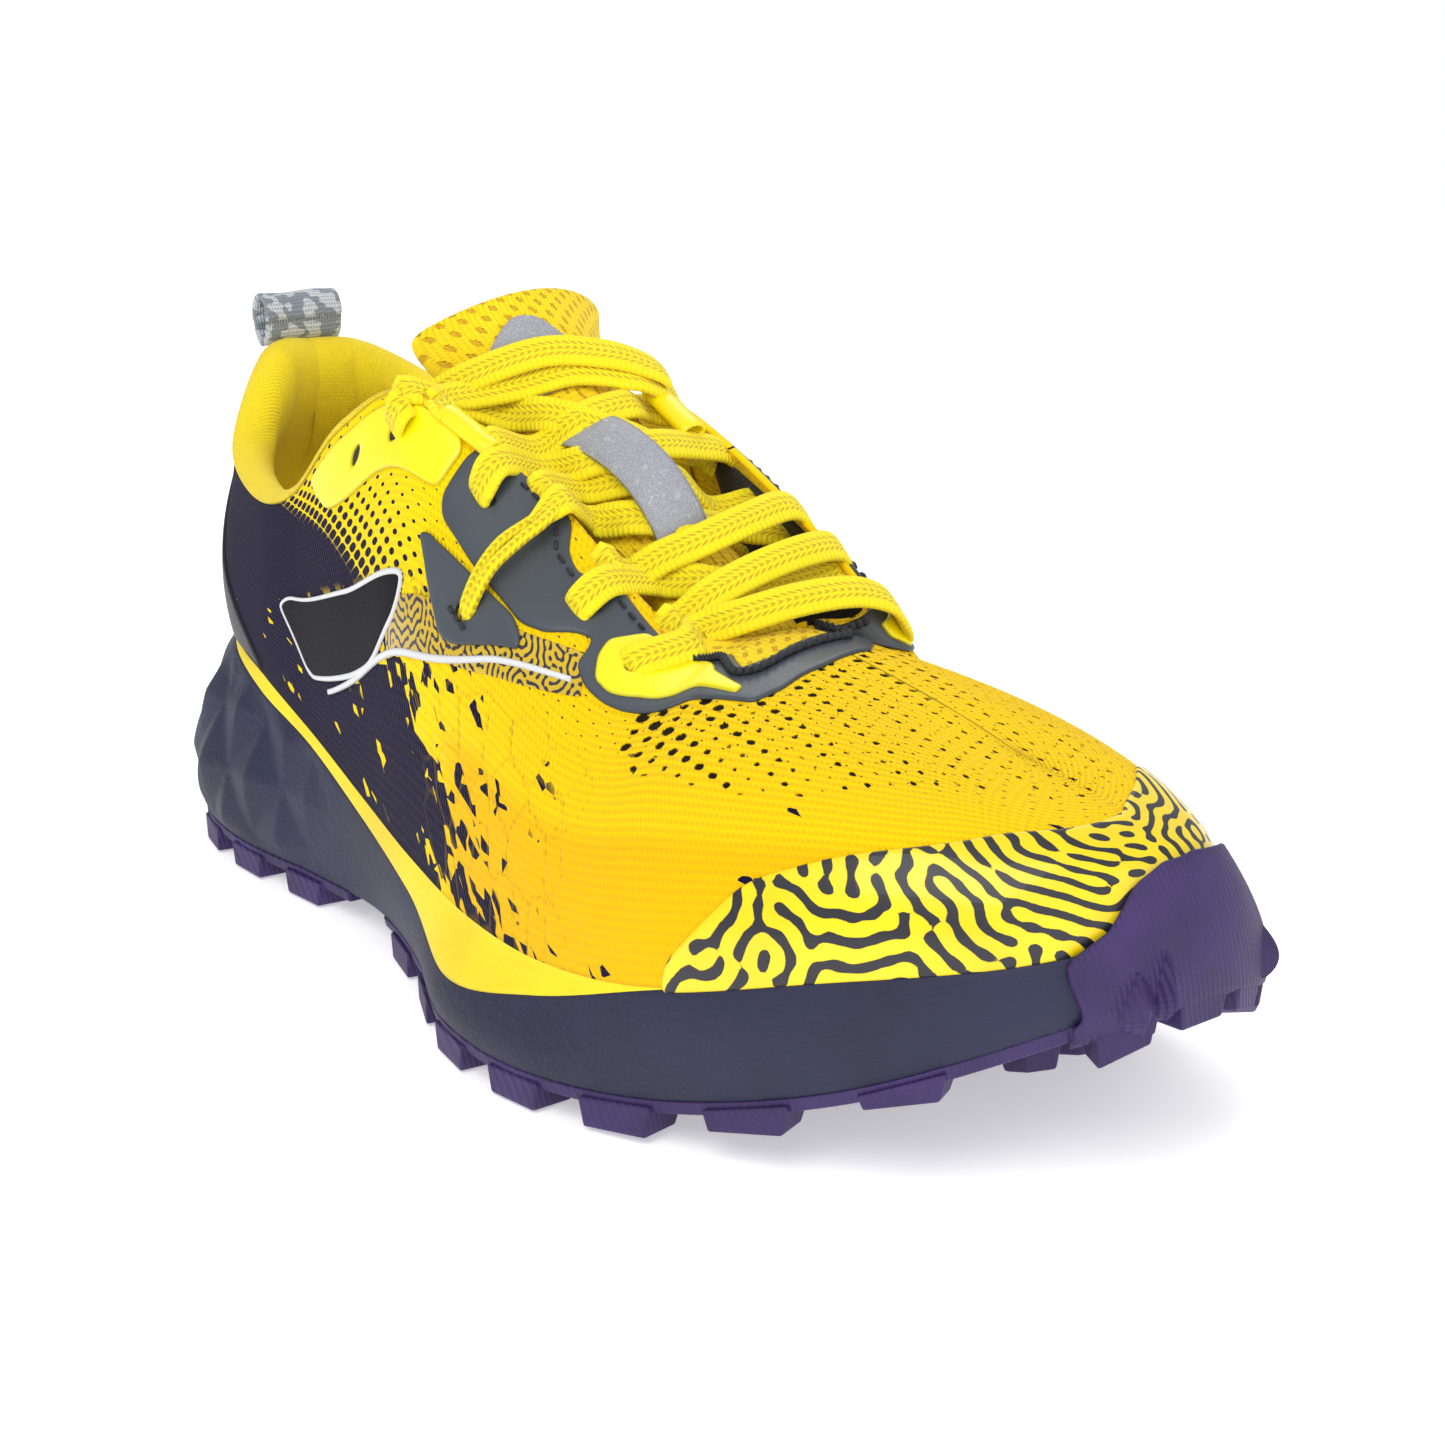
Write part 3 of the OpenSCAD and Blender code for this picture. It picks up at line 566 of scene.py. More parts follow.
class Look:
    """Node material with short calls for its textures."""

    def __init__(self, name, rough=0.6, sheen=0.0, coat=0.0, shine=0.5):
        self.material = bpy.data.materials.new(name)
        self.material.use_nodes = True
        self.tree = self.material.node_tree
        self.shader = self.tree.nodes["Principled BSDF"]
        self.set("Roughness", rough)
        self.set("Sheen Weight", sheen)
        self.set("Coat Weight", coat)
        self.set("Specular IOR Level", shine)

    def put(self, socket, value):
        if isinstance(value, Value):
            value = value.socket
        if isinstance(value, bpy.types.NodeSocket):
            self.tree.links.new(value, socket)
        else:
            socket.default_value = value

    def set(self, name, value):
        """Sets an input of the surface shader."""
        self.put(self.shader.inputs[name], value)

    def node(self, kind, inputs=(), **settings):
        """New node with settings, and with values for its named or numbered inputs."""
        made = self.tree.nodes.new(kind)
        for key, value in settings.items():
            setattr(made, key, value)
        for key, value in dict(inputs).items():
            self.put(made.inputs[key], value)
        return made

    def math(self, operation, a, b=0.0):
        return Value(self, self.node("ShaderNodeMath", {0: a, 1: b}, operation=operation).outputs[0])

    def span(self, value, low, high):
        """0 below low, 1 above high and smooth between."""
        inputs = {"Value": value, "From Min": low, "From Max": high}
        made = self.node("ShaderNodeMapRange", inputs, interpolation_type="SMOOTHSTEP")
        return Value(self, made.outputs[0])

    def mix(self, share, a, b):
        inputs = {"Factor": share, "A": a, "B": b}
        return self.node("ShaderNodeMix", inputs, data_type="RGBA").outputs["Result"]

    def field(self, name):
        return Value(self, self.node("ShaderNodeAttribute", attribute_name=name).outputs["Fac"])

    def split(self, vector):
        parts = self.node("ShaderNodeSeparateXYZ", {0: vector}).outputs
        return [Value(self, part) for part in parts]

    def pattern(self):
        """Pattern coordinates in millimetres: the two parts and the vector."""
        where = self.node("ShaderNodeUVMap", uv_map="mm").outputs[0]
        x, y, _ = self.split(where)
        return x, y, where

    def solid(self):
        """Object coordinates in drawn millimetres."""
        where = self.node("ShaderNodeTexCoord").outputs["Object"]
        return self.stretched(where, (1 / MM, 1 / MM, 1 / MM))

    def vector(self, x, y):
        return self.node("ShaderNodeCombineXYZ", {0: x, 1: y}).outputs[0]

    def stretched(self, where, factors):
        return self.node("ShaderNodeVectorMath", {0: where, 1: factors}, operation="MULTIPLY").outputs[0]

    def noise(self, where, scale, detail=2.0, rough=0.5):
        inputs = {"Vector": where, "Scale": scale, "Detail": detail, "Roughness": rough}
        return Value(self, self.node("ShaderNodeTexNoise", inputs).outputs["Fac"])

    def cells(self, where, scale, feature="F1"):
        inputs = {"Vector": where, "Scale": scale}
        return Value(self, self.node("ShaderNodeTexVoronoi", inputs, feature=feature).outputs["Distance"])

    def shatter(self, where, stretch):
        """Random value for each angular shard of a broken-up surface."""
        inputs = {"Vector": self.stretched(where, stretch), "Scale": 1.0}
        return self.split(self.node("ShaderNodeTexVoronoi", inputs, feature="F1").outputs["Color"])[0]

    def wave(self, value, period, shift=0.0):
        """Sine of a length, from 0 to 1."""
        return ((value * (2 * math.pi / period) + shift).sine() + 1.0) * 0.5

    def bump(self, *layers):
        """Bump from pairs of height and depth in millimetres."""
        normal = None
        for height, depth in layers:
            made = self.node("ShaderNodeBump", {"Distance": depth * MM, "Strength": 1.0, "Height": height})
            if normal is not None:
                self.put(made.inputs["Normal"], normal)
            normal = made.outputs[0]
        self.set("Normal", normal)
        return self.material


def darker(colour, share):
    return [c * share for c in colour[:3]] + [1]


LEMON = rgb("#fdee03")
GOLD = rgb("#fbd006")
DEEP_GOLD = rgb("#ecb604")
INDIGO = rgb("#140a30")
NAVY = rgb("#191d40")
SLATE = rgb("#464d56")
CHARCOAL = rgb("#1d1d27")


def indigo_print(look, s, y):
    """Indigo of the heel: it breaks up into shards below and into slanted rows of dots above."""
    slanted = look.vector(s - y * 0.9, y + s * 0.5)
    far = s - (216.0 - y * 1.55)                  # millimetres past the middle of the break
    breaking = look.shatter(slanted, (0.13, 0.26, 1)) * 0.55 + look.shatter(slanted, (0.28, 0.55, 1)) * 0.45
    shards = look.span(breaking - (look.span(far, -72.0, 44.0) * 0.9 + 0.06), -0.01, 0.01)
    dots = look.wave(s + y * 1.3, 4.6) * look.wave(y - s * 0.35, 2.5)
    halftone = look.span(dots - (look.span(far, -30.0, 24.0) - 0.05), -0.03, 0.03)
    high = look.span(y, 30.0, 34.0)
    return shards * (1.0 - high) + halftone * high


def knit_look():
    """Knit of the upper: indigo heel, yellow body and golden ventilated vamp with faint cracks, its holes
    darkened partly with painted shade.
    """
    look = Look("knit", rough=0.85, sheen=0.06, shine=0.1)
    x, y, where = look.pattern()
    s = abs(abs(x - HALF * STATION) - HALF * STATION)
    ribs = look.wave(s + y * 0.35, 1.05) * look.wave(y, 1.3)
    golden = look.span(s + look.noise(where, 0.05, 3) * 60.0, 195.0, 245.0)
    body = look.mix(golden, rgb("#ffdf04"), GOLD)
    low_band = look.span(s, 175.0, 190.0) * (1.0 - look.span(y, 17.0, 21.0))
    body = look.mix(low_band, body, rgb("#f4c004"))
    body = look.mix(ribs * 0.35, body, DEEP_GOLD)
    dark = look.mix(ribs * 0.5, INDIGO, rgb("#0e0726"))
    base = look.mix(indigo_print(look, s, y), body, dark)
    # Ventilation dents coloured deep brownish yellow: the dark vamp lining seen through a hole, and partly
    # painted shade inside it.
    hole = look.span(look.field("hole"), -0.12, 0.12)
    base = look.mix(hole, base, rgb("#241a08"))
    cracks = look.span(look.cells(where, 0.13, "DISTANCE_TO_EDGE"), 0.06, 0.0)
    cracks = cracks * look.span(s, 168.0, 180.0) * look.span(s, 232.0, 215.0) * look.span(y, 34.0, 28.0)
    look.set("Base Color", look.mix(cracks * 0.12, base, DEEP_GOLD))
    return look.bump((ribs, 0.22), (cracks * -1.0, 0.22), (hole * -1.0, 0.8))


def film_look(name, colour, rough=0.38, grain=0.05, shade=0.85, shine=0.5):
    """Welded film: smooth plastic with fine grain, a little darker at its edge."""
    look = Look(name, rough=rough, coat=0.2 * shine, shine=shine)
    where = look.solid()
    fine = look.noise(where, 2.2, 3)
    base = look.mix(look.span(look.noise(where, 0.06), 0.35, 0.7), colour, darker(colour, shade))
    edge = look.span(look.field("rim"), 0.5, 0.05)
    look.set("Base Color", look.mix(edge, base, darker(colour, 0.7)))
    look.set("Roughness", (fine - 0.5) * 0.25 + rough)
    return look.bump((fine, grain))


def maze_look(name, base, line, rough=0.32):
    """Film printed with winding dark lines."""
    look = Look(name, rough=rough, coat=0.25)
    lines = look.span(look.field("maze"), 0.14, 0.3)
    fine = look.noise(look.solid(), 1.5, 3)
    ground = look.mix(look.span(look.noise(look.solid(), 0.05), 0.3, 0.7), base, darker(base, 0.86))
    look.set("Base Color", look.mix(lines, ground, line))
    look.set("Roughness", lines * 0.15 + rough)
    return look.bump((lines, 0.12), (fine, 0.03))


def foam_look(name, colour, dark, rough=0.55):
    """Moulded EVA foam: fine skin pebble, soft cloudy tone and a few scuffs."""
    look = Look(name, rough=rough)
    where = look.solid()
    fine = look.noise(where, 3.0, 4, 0.6)
    wrinkle = look.noise(look.stretched(where, (1, 1, 2.5)), 0.25, 4, 0.6)
    base = look.mix(look.span(look.noise(where, 0.04, 3), 0.3, 0.75), colour, dark)
    look.set("Base Color", look.mix(look.span(wrinkle, 0.6, 0.8) * 0.25, base, dark))
    look.set("Roughness", fine * 0.25 + (rough - 0.1))
    look.set("Subsurface Weight", 0.05)
    look.set("Subsurface Radius", (0.002, 0.002, 0.001))
    return look.bump((look.cells(where, 1.1), 0.06), (wrinkle, 0.25), (fine, 0.04))


def rubber_look():
    """Outsole rubber with fine moulded ribs, dusty on its wear faces."""
    look = Look("outsole_rubber")
    where = look.solid()
    x, y, z = look.split(where)
    ribs = look.wave(y + x * 0.3 + z * 0.25, 1.1)
    fine = look.noise(where, 1.8, 4, 0.6)
    base = look.mix(look.span(look.noise(where, 0.07, 3), 0.3, 0.7), rgb("#382460"), rgb("#2c1b4e"))
    worn = look.span(z, 2.5, 0.0) * look.span(fine, 0.4, 0.7)
    look.set("Base Color", look.mix(worn, base, rgb("#4a3d70")))
    look.set("Roughness", fine * 0.25 + 0.48)
    return look.bump((ribs, 0.12), (fine, 0.08))


def lace_look():
    """Flat woven lace: ribbed edges and a chevron row along its middle."""
    look = Look("lace_weave", rough=0.8, sheen=0.08)
    x, y, where = look.pattern()
    middle = look.span(abs(y), 2.1, 1.7)
    herring = look.wave(x + abs(y) * 1.6, 1.5)
    cross = look.wave(x, 1.15)
    fibre = look.noise(where, 4.0, 3)
    row = look.span(herring, 0.35, 0.6) * look.span(look.wave(y, 1.35, 1.57), 0.3, 0.6)
    base = look.mix((1.0 - cross) * 0.3, LEMON, rgb("#f0ca04"))
    base = look.mix(row * middle * 0.85, base, rgb("#c9a408"))
    look.set("Base Color", look.mix(fibre * 0.18, base, rgb("#f6d404")))
    return look.bump((cross * (1.0 - middle) + herring * middle, 0.18), (fibre, 0.06))


def padding_look(name, colour, dark, mesh_size=1.0):
    """Brushed or knitted lining: fine mesh, soft folds and sheen."""
    look = Look(name, rough=0.8, sheen=0.12)
    x, y, where = look.pattern()
    weave = look.wave(x + y, mesh_size) * look.wave(x - y, mesh_size)
    cloud = look.noise(where, 0.05, 3)
    base = look.mix(weave * 0.3, colour, dark)
    look.set("Base Color", look.mix(look.span(cloud, 0.35, 0.75) * 0.35, base, dark))
    return look.bump((weave, 0.16), (look.noise(where, 2.0, 4, 0.65), 0.1), (cloud, 0.4))


def tongue_look():
    """Tongue mesh with slanted slots in rows."""
    look = Look("tongue_mesh", rough=0.85, sheen=0.06)
    x, y, _ = look.pattern()
    fine = look.wave(x, 0.9) * look.wave(y, 0.9)
    line = (y + x * 0.3) / 2.6
    along = (x / 5.0 + math.floor(line) * 0.5).fract() - 0.5
    across = line.fract() - 0.5
    slot = look.span(((along * 3.3) ** 2.0 + (across * 5.2) ** 2.0).root(), 1.15, 0.75)
    base = look.mix(fine * 0.3, rgb("#ffde04"), rgb("#f0bc04"))
    look.set("Base Color", look.mix(slot * 0.8, base, rgb("#d09c04")))
    return look.bump((slot * -1.0, 0.2), (fine, 0.15))


def reflective_look():
    """Silver reflective fabric: glass bead grain with painted glints on the beads, and creases with painted
    highlights along them.
    """
    look = Look("reflective_fabric", rough=0.45)
    where = look.solid()
    beads = look.cells(where, 3.5)
    crease = look.noise(where, 0.5, 5, 0.65)
    # Bead cells lighter at their centres: painted glints.
    base = look.mix(look.span(beads, 0.1, 0.6), rgb("#b9bac2"), rgb("#93959e"))
    # Paler streaks along the creases: painted highlights.
    look.set("Base Color", look.mix(look.span(crease, 0.58, 0.66) * 0.4, base, rgb("#d4d5da")))
    return look.bump((beads, 0.06), (crease, 0.2))


def webbing_look():
    """Pull loop webbing: ribbed weave in mottled light and mid grey."""
    look = Look("webbing", rough=0.7, sheen=0.2)
    x, y, where = look.pattern()
    ribs = look.wave(x, 0.9) * look.wave(y, 0.7)
    blot = look.noise(look.stretched(where, (1.0, 0.75, 1)), 0.32, 1)
    base = look.mix(look.span(blot, 0.49, 0.51), rgb("#c9ced3"), rgb("#868f99"))
    look.set("Base Color", look.mix(ribs * 0.3, base, rgb("#6c757f")))
    return look.bump((ribs, 0.25))


def thread_look(name, colour):
    """Sewing thread with a twist."""
    look = Look(name)
    twist = look.noise(look.stretched(look.solid(), (1, 1, 3)), 3.0)
    look.set("Base Color", look.mix(twist, colour, darker(colour, 0.5)))
    return look.bump((twist, 0.15))


KNIT = knit_look()
SLATE_FILM = film_look("slate_film", SLATE, 0.42, 0.08)
YELLOW_FILM = film_look("yellow_film", LEMON, 0.35, 0.04, 0.93)
TOE_FILM = maze_look("toe_film", rgb("#ffe005"), CHARCOAL)
MAZE_FILM = maze_look("saddle_maze", rgb("#d8b41c"), rgb("#2b2536"), 0.28)
DARK_FILM = film_look("dark_film", rgb("#0b0811"), 0.6, 0.05, shine=0.1)
WHITE_PRINT = film_look("white_print", rgb("#f2f3f5"), 0.4, 0.03, 0.94)
HEEL_FILM = film_look("heel_film", rgb("#2b2b35"), 0.5, 0.06, shine=0.25)
CLIP_PLASTIC = film_look("clip_plastic", rgb("#8794a6"), 0.45, 0.1)
NAVY_FOAM = foam_look("navy_foam", NAVY, rgb("#131733"))
YELLOW_FOAM = foam_look("yellow_foam", rgb("#ffe903"), rgb("#fad902"), 0.45)
RUBBER = rubber_look()
LACE = lace_look()
LINING = padding_look("lining", rgb("#ffe404"), rgb("#f3cb04"))
BLACK_LINING_AND_HOLE_SHADE = padding_look("black_lining", rgb("#17181c"), rgb("#0a0a0d"))
INSOLE = padding_look("insole_fabric", rgb("#2a2d38"), rgb("#16181f"), 1.6)
TONGUE = tongue_look()
REFLECTIVE = reflective_look()
WEBBING = webbing_look()
DARK_THREAD = thread_look("dark_thread", rgb("#2f333b"))
AGLET = film_look("aglet_plastic", rgb("#ffe808"), 0.25, 0.05, 0.95)

# ---------------------------------------------------------------- sole

RING = 720                                        # points round a ring of the sole
AROUND = (np.arange(RING) + 0.5) * 2 * HALF / RING


def triangle_wave(x):
    return np.abs((x % 1) * 2 - 1)


def facets(u, w):
    """Shallow triangular facets moulded into the midsole at the heel."""
    s, _ = from_heel(u)
    x, y = s * STATION, w * 45
    shape = np.minimum(triangle_wave(x / 26 + y / 30), triangle_wave(x / 20 - y / 34 + 0.3))
    fade = (1 - ease((s - 3.2) / 1.6)) * ease(w / 0.12) * ease((0.93 - w) / 0.15)
    return (2.4 * shape - 1.2) * fade


def wall_rings(low, high, count, push=None):
    """Rings up the midsole's wall between two shares of its height."""
    heights = [low + (high - low) * f for f in np.linspace(0, 1, count)]
    return [wall(AROUND, w, push(AROUND, w) if push else 0.0) for w in heights]


def moved(ring, inwards, up=0.0):
    """Ring of the sole moved inwards and up."""
    return ring - outward(AROUND) * inwards + [0, 0, up]


SEAM = spline(SHAPE["seam"], AROUND, True)


def build_midsole():
    """The navy foam and the yellow layer above it, which meet at a seam that rises and falls."""
    rings = [moved(wall(AROUND, 0 * AROUND), 6, 0.3), moved(wall(AROUND, 0 * AROUND), 1.2, 0)]
    rings += wall_rings(0.012 + 0 * AROUND, SEAM, 34, facets)
    top = rings[-1]
    rings += [moved(top, 0.5, 0.35), moved(top, 1.5, 0.3), moved(top, 5, -1), moved(top, 7, -10)]
    points, faces = loft(rings)
    s, _ = from_heel(np.tile(AROUND, len(rings)))
    uv = np.stack([s * STATION, np.repeat(np.arange(len(rings)), RING)], -1)
    make("midsole_lower", points, faces, NAVY_FOAM, stands_for=["midsole"], uv=uv, slot="navy_foam")
    low = np.minimum(SEAM + 0.006, 0.999)
    foot = wall(AROUND, low)
    rings = [moved(foot, inwards, up) for inwards, up in ((5, -8), (3, 0.2), (0.8, 0.2))]
    rings += wall_rings(low, 1 + 0 * AROUND, 14)
    edge = rings[-1]
    rings += [moved(edge, inwards, up)
              for inwards, up in ((0.1, 0.7), (0.7, 1.1), (1.6, 0.9), (3, -2), (6, -8))]
    points, faces = loft(rings)
    make("midsole_upper", points, faces, YELLOW_FOAM, stands_for=["midsole_top_layer"], slot="yellow_foam")


def tread_at(x):
    """Outer y, inner y and z of the tread at a place along the shoe."""
    rows = np.array(TREAD_ROWS, float)
    fine = spline(rows, np.linspace(0, HALF, 400))
    return [float(np.interp(x, fine[:, 0], fine[:, k])) for k in (1, 2, 3)]


def bevelled(piece, width):
    """Rounds the sharp edges of a piece."""
    modifier = piece.modifiers.new("Bevel", "BEVEL")
    modifier.width = width * MM
    modifier.segments = 2
    modifier.limit_method = "ANGLE"
    modifier.angle_limit = math.radians(35)
    piece.modifiers.new("Shade", "WEIGHTED_NORMAL")


PLATE = 2.4                                       # thickness of the rubber plate
LUG_DEPTH = 5.2


def lug_block(outline, taper, at_edge):
    """Root and foot of a lug with an outline on the sole. It narrows down to its foot, towards its
    middle or, at the sole's edge, towards its outer face."""
    outline = np.asarray(outline, float)
    middle = outline[:2].mean(0) if at_edge else outline.mean(0)
    roots = [tread_at(x)[2] for x, _ in outline]
    top = [(x, y, z - 1.0) for (x, y), z in zip(outline, roots)]
    foot_z = max(tread_at(middle[0])[2] - 1.8 - LUG_DEPTH, 0)
    foot = [(middle[0] + (x - middle[0]) * taper, middle[1] + (y - middle[1]) * taper,
             foot_z + (0 if foot_z == 0 else 0.5 * (z - min(roots)))) for (x, y), z in zip(outline, roots)]
    return top, foot


def build_outsole():
    """Two rubber plates with their lugs."""
    for name, start, end, node in (("heel_outsole_rubber", 1.1, 4.5, "heel_outsole"),
                                   ("forefoot_outsole_rubber", 5.1, 11.2, "forefoot_outsole")):
        stations = np.linspace(start, end, int((end - start) * 14))
        across = np.linspace(0, 1, 21)
        top, bottom = [], []
        for s in stations:
            a, b = spline(TREAD, s, True), spline(TREAD, 2 * HALF - s, True)
            line = a + (b - a) * across[:, None]
            line[0] += [0, -0.5, 0]
            line[-1] += [0, 0.5, 0]
            top.append(line + [0, 0, 0.3])
            bottom.append(line + np.stack([0 * across, 1.4 * (0.5 - across), 0 * across - PLATE], -1))
        sections = [np.concatenate([t, b[::-1]]) for t, b in zip(top, bottom)]
        points, faces = loft_rows(sections)
        points = points.tolist()
        for outline, taper, at_edge in lug_outlines(start, end):
            high, low = lug_block(outline, taper, at_edge)
            n, base = len(outline), len(points)
            points += high + low
            faces += [[base + i, base + (i + 1) % n, base + n + (i + 1) % n, base + n + i]
                      for i in range(n)]
            faces += [[base + i for i in range(n)][::-1], [base + n + i for i in range(n)]]
        piece = make(name, points, faces, RUBBER, stands_for=[node], smooth=False, slot="purple_rubber")
        bevelled(piece, 0.5)
    build_bumper()


def lug_outlines(start, end):
    """Outlines of the lugs between two stations: a row along each edge and pointed ones between."""
    result = []
    reach = 8.5
    for side in (-1, 1):
        for s in np.arange(start + 0.45, end - 0.2, 0.78):
            half_long = 0.235 if s < 9.5 else 0.2
            ends = []
            for f in (-1, 1):
                u = s + f * half_long if side < 0 else 2 * HALF - s - f * half_long
                p, out = spline(TREAD, u, True)[:2], outward(u)[:2]
                ends.append((p + out * 1.0, p - out * reach))
            (a, b), (c, d) = ends
            notch = (b + d) / 2 - outward(s if side < 0 else 2 * HALF - s)[:2] * 4.5
            result.append(([a, c, d, notch, b], 0.86, True))
    x0, x1 = spline(TREAD, start, True)[0], spline(TREAD, end, True)[0]
    for row, x in enumerate(np.arange(x0 + 14, x1 - 14, 20.6)):
        outer, inner, _ = tread_at(x)
        count = 2 if row % 2 == 0 else 3
        if inner - outer < 62:
            count = 1 + row % 2
        room = (inner - outer) - 2 * (reach + 10)
        for k in range(count):
            y = outer + reach + 10 + room * (k + 0.5) / count
            long, wide, point = 12, min(13, room / count - 4), 5
            back, front = x - long / 2, x + long / 2
            low, high = y - wide / 2, y + wide / 2
            arrow = [(back, low), (front - point, low), (front, y), (front - point, high), (back, high),
                     (back + 3, y)]
            result.append((arrow, 0.8, False))
    return result


BUMPER = (11.0, 13.35)                            # stations between which the rubber wraps the toe
BUMPER_TOP = ([11.26, 11.46, 11.66, 11.84, 12.1, 12.66, 12.9, 13.1], [0, .06, .20, .26, .275, .20, .1, 0])
BUMPER_THICK = 2.2


def bumper_face(u, f, lift=0.0):
    """Point of the bumper's outer face: f from 0 at its lower edge to 1 at its upper edge."""
    start, end = BUMPER
    rise = ease((u - start) / 0.3) * ease((end - u) / 0.3)
    top = np.interp(u, *BUMPER_TOP)
    out = outward(u)
    low = wall(u, 0, 1.0 * rise + 0.3) - np.array([0, 0, 3.0])
    if top > 0:
        high = skin(u, top, BUMPER_THICK)
    else:
        high = wall(u, rise, 1.2)
    bulge = out * (3.2 * rise)
    reach = high - low
    return bezier(low, low + reach * 0.33 + bulge, low + reach * 0.67 + bulge, high, f) + out * lift


def build_bumper():
    """Rubber that wraps up over the toe, with pointed fins on its sides."""
    start, end = BUMPER
    sections = []
    for u in np.linspace(start + 0.01, end - 0.01, 81):
        out = outward(u)
        face = [bumper_face(u, f) for f in np.linspace(0, 1, 18)]
        top = face[-1]
        back = top - out * 1.6 - [0, 0, 0.8]
        foot = wall(u, 0) - out * 9
        foot[2] = tread_at(float(min(foot[0], 293)))[2]
        sections.append(np.array([foot - [0, 0, 3.2], face[0] - out * 1.0 - [0, 0, 1.0]] + face
                                 + [top - out * 0.5 + [0, 0, 0.15], back, foot]))
    points, faces = loft_rows(sections)
    make("toe_bumper", points, faces, RUBBER, slot="purple_rubber")
    points, faces = [], []
    for u, f, size in ((11.42, 0.2, 1.5), (11.62, 0.22, 1.2), (12.75, 0.25, 0.9)):
        build_fin(points, faces, u, f, size)
    make("bumper_fins", points, faces, RUBBER, smooth=False, slot="purple_rubber")
    for k, (u, half_long) in enumerate(((11.35, 0.20), (11.95, 0.22), (12.5, 0.2), (13.0, 0.18))):
        a, c = (bumper_face(u + f * half_long, 0.08) for f in (-1, 1))
        out = outward(u)
        b, d = a - out * 9, c - out * 9
        top = [a, c, d - [0, 0, 0.5], b - [0, 0, 0.5]]
        middle = (a + c) / 2
        foot = [middle + (q - middle) * [0.86, 0.86, 1] - out * 0.8 - [0, 0, 6.4] for q in top]
        points = top + foot
        faces = [[0, 1, 2, 3], [7, 6, 5, 4]] + [[i, 4 + i, 4 + (i + 1) % 4, (i + 1) % 4] for i in range(4)]
        bevelled(make(f"toe_lug_{k}", points, faces, RUBBER, smooth=False, slot="purple_rubber"), 0.6)


def build_fin(points, faces, u, f, size):
    """Pointed leaf with a ridge along it, that stands out of the bumper."""
    sections = []
    for k in np.linspace(0.03, 0.97, 11):
        swell = math.sin(math.pi * k ** 0.8)
        at, height = u + 0.10 * size * (k - 0.5), f + 0.5 * size * (k - 0.5)
        half = 0.085 * size * swell
        ridge = bumper_face(at + 0.2 * half, height, 2.6 * size * swell)
        sections.append([bumper_face(at - half, height, -0.4), ridge, bumper_face(at + half, height, -0.4),
                         bumper_face(at, height, -1.2)])
    p, f = loft_rows(sections)
    faces += [[i + len(points) for i in face] for face in f]
    points += p.tolist()


# ---------------------------------------------------------------- upper

KNIT_THICKNESS = 1.4
HOLE_STEP, HOLE_ROW = 3.9, 2.75                   # spacing of the ventilation holes along and across


def build_knit():
    """Knitted shell with its ventilation holes as real dents."""
    cols, rows = 1152, 121
    us = (np.arange(cols) + 0.5) * 2 * HALF / cols
    vs = np.linspace(0.0, 1, rows)
    u, v = np.meshgrid(us, vs)
    hole = ventilation(u, v)
    outer = skin(u, v, -0.5 * ease(hole / 0.5 + 0.5))
    inner = skin(u, v, -KNIT_THICKNESS + 0 * u)
    ids = np.arange(rows * cols).reshape(rows, cols)
    s, side = from_heel(us)
    shared = (s > RIDGE) & (side > 0)
    ids[-1, shared] = ids[-1, cols - 1 - np.nonzero(shared)[0]]
    count = rows * cols
    k = (np.arange(cols) + 1) % cols
    quads = np.stack([ids[:-1], ids[:-1, k], ids[1:, k], ids[1:]], -1).reshape(-1, 4)
    bottom = np.stack([ids[0], ids[0] + count, ids[0][k] + count, ids[0][k]], -1)
    top = np.stack([ids[-1], ids[-1][k], ids[-1][k] + count, ids[-1] + count], -1)
    open_top = (s < RIDGE) | (np.roll(s, -1) < RIDGE)
    faces = np.concatenate([quads, quads[:, ::-1] + count, bottom, top[open_top]])
    faces = [f for f in faces.tolist() if len(set(f)) == 4]
    points = np.concatenate([outer.reshape(-1, 3), inner.reshape(-1, 3)])
    uv = np.stack([u.ravel() * STATION, v.ravel() * RISE], -1)
    piece = make("knitted_upper", points, faces, KNIT, uv=np.tile(uv, (2, 1)),
                 fields={"hole": np.tile(hole.ravel(), 2)}, slot="knit",
                 stands_for=["upper_mesh", "heel_counter", "toe_puff"])
    drop_loose(piece)


def drop_loose(piece):
    """Removes points that no face uses."""
    build = bmesh.new()
    build.from_mesh(piece.data)
    loose = [p for p in build.verts if not p.link_faces]
    bmesh.ops.delete(build, geom=loose, context="VERTS")
    build.to_mesh(piece.data)
    build.free()


def ventilation(u, v):
    """Depth into the nearest ventilation hole, in millimetres: above 0 inside a hole."""
    s, _ = from_heel(u)
    x, y, _ = np.moveaxis(upper(u, v), -1, 0)
    row = np.floor(y / HOLE_ROW)
    fx = ((x - 0.25 * y) / HOLE_STEP + 0.5 * (row % 2)) % 1 - 0.5
    fy = (y / HOLE_ROW) % 1 - 0.5
    front = ease((x - 195) / 45)
    size = (1.2 - 0.4 * front) * (0.75 + 0.25 * np.sin(row * 2.1 + x / 9))
    reach = np.hypot(fx * HOLE_STEP * (1 + 0.1 * front), fy * HOLE_ROW * (1 + 0.9 * front))
    low = np.interp(s, [8.3, 8.7, 9.6, 10.4, 11.3, 12], [0.55, 0.45, 0.42, 0.45, 0.58, 0.68])
    zone = np.minimum((s - 8.32) * 20, (v - low) * 40)
    return np.minimum(size - reach, zone)


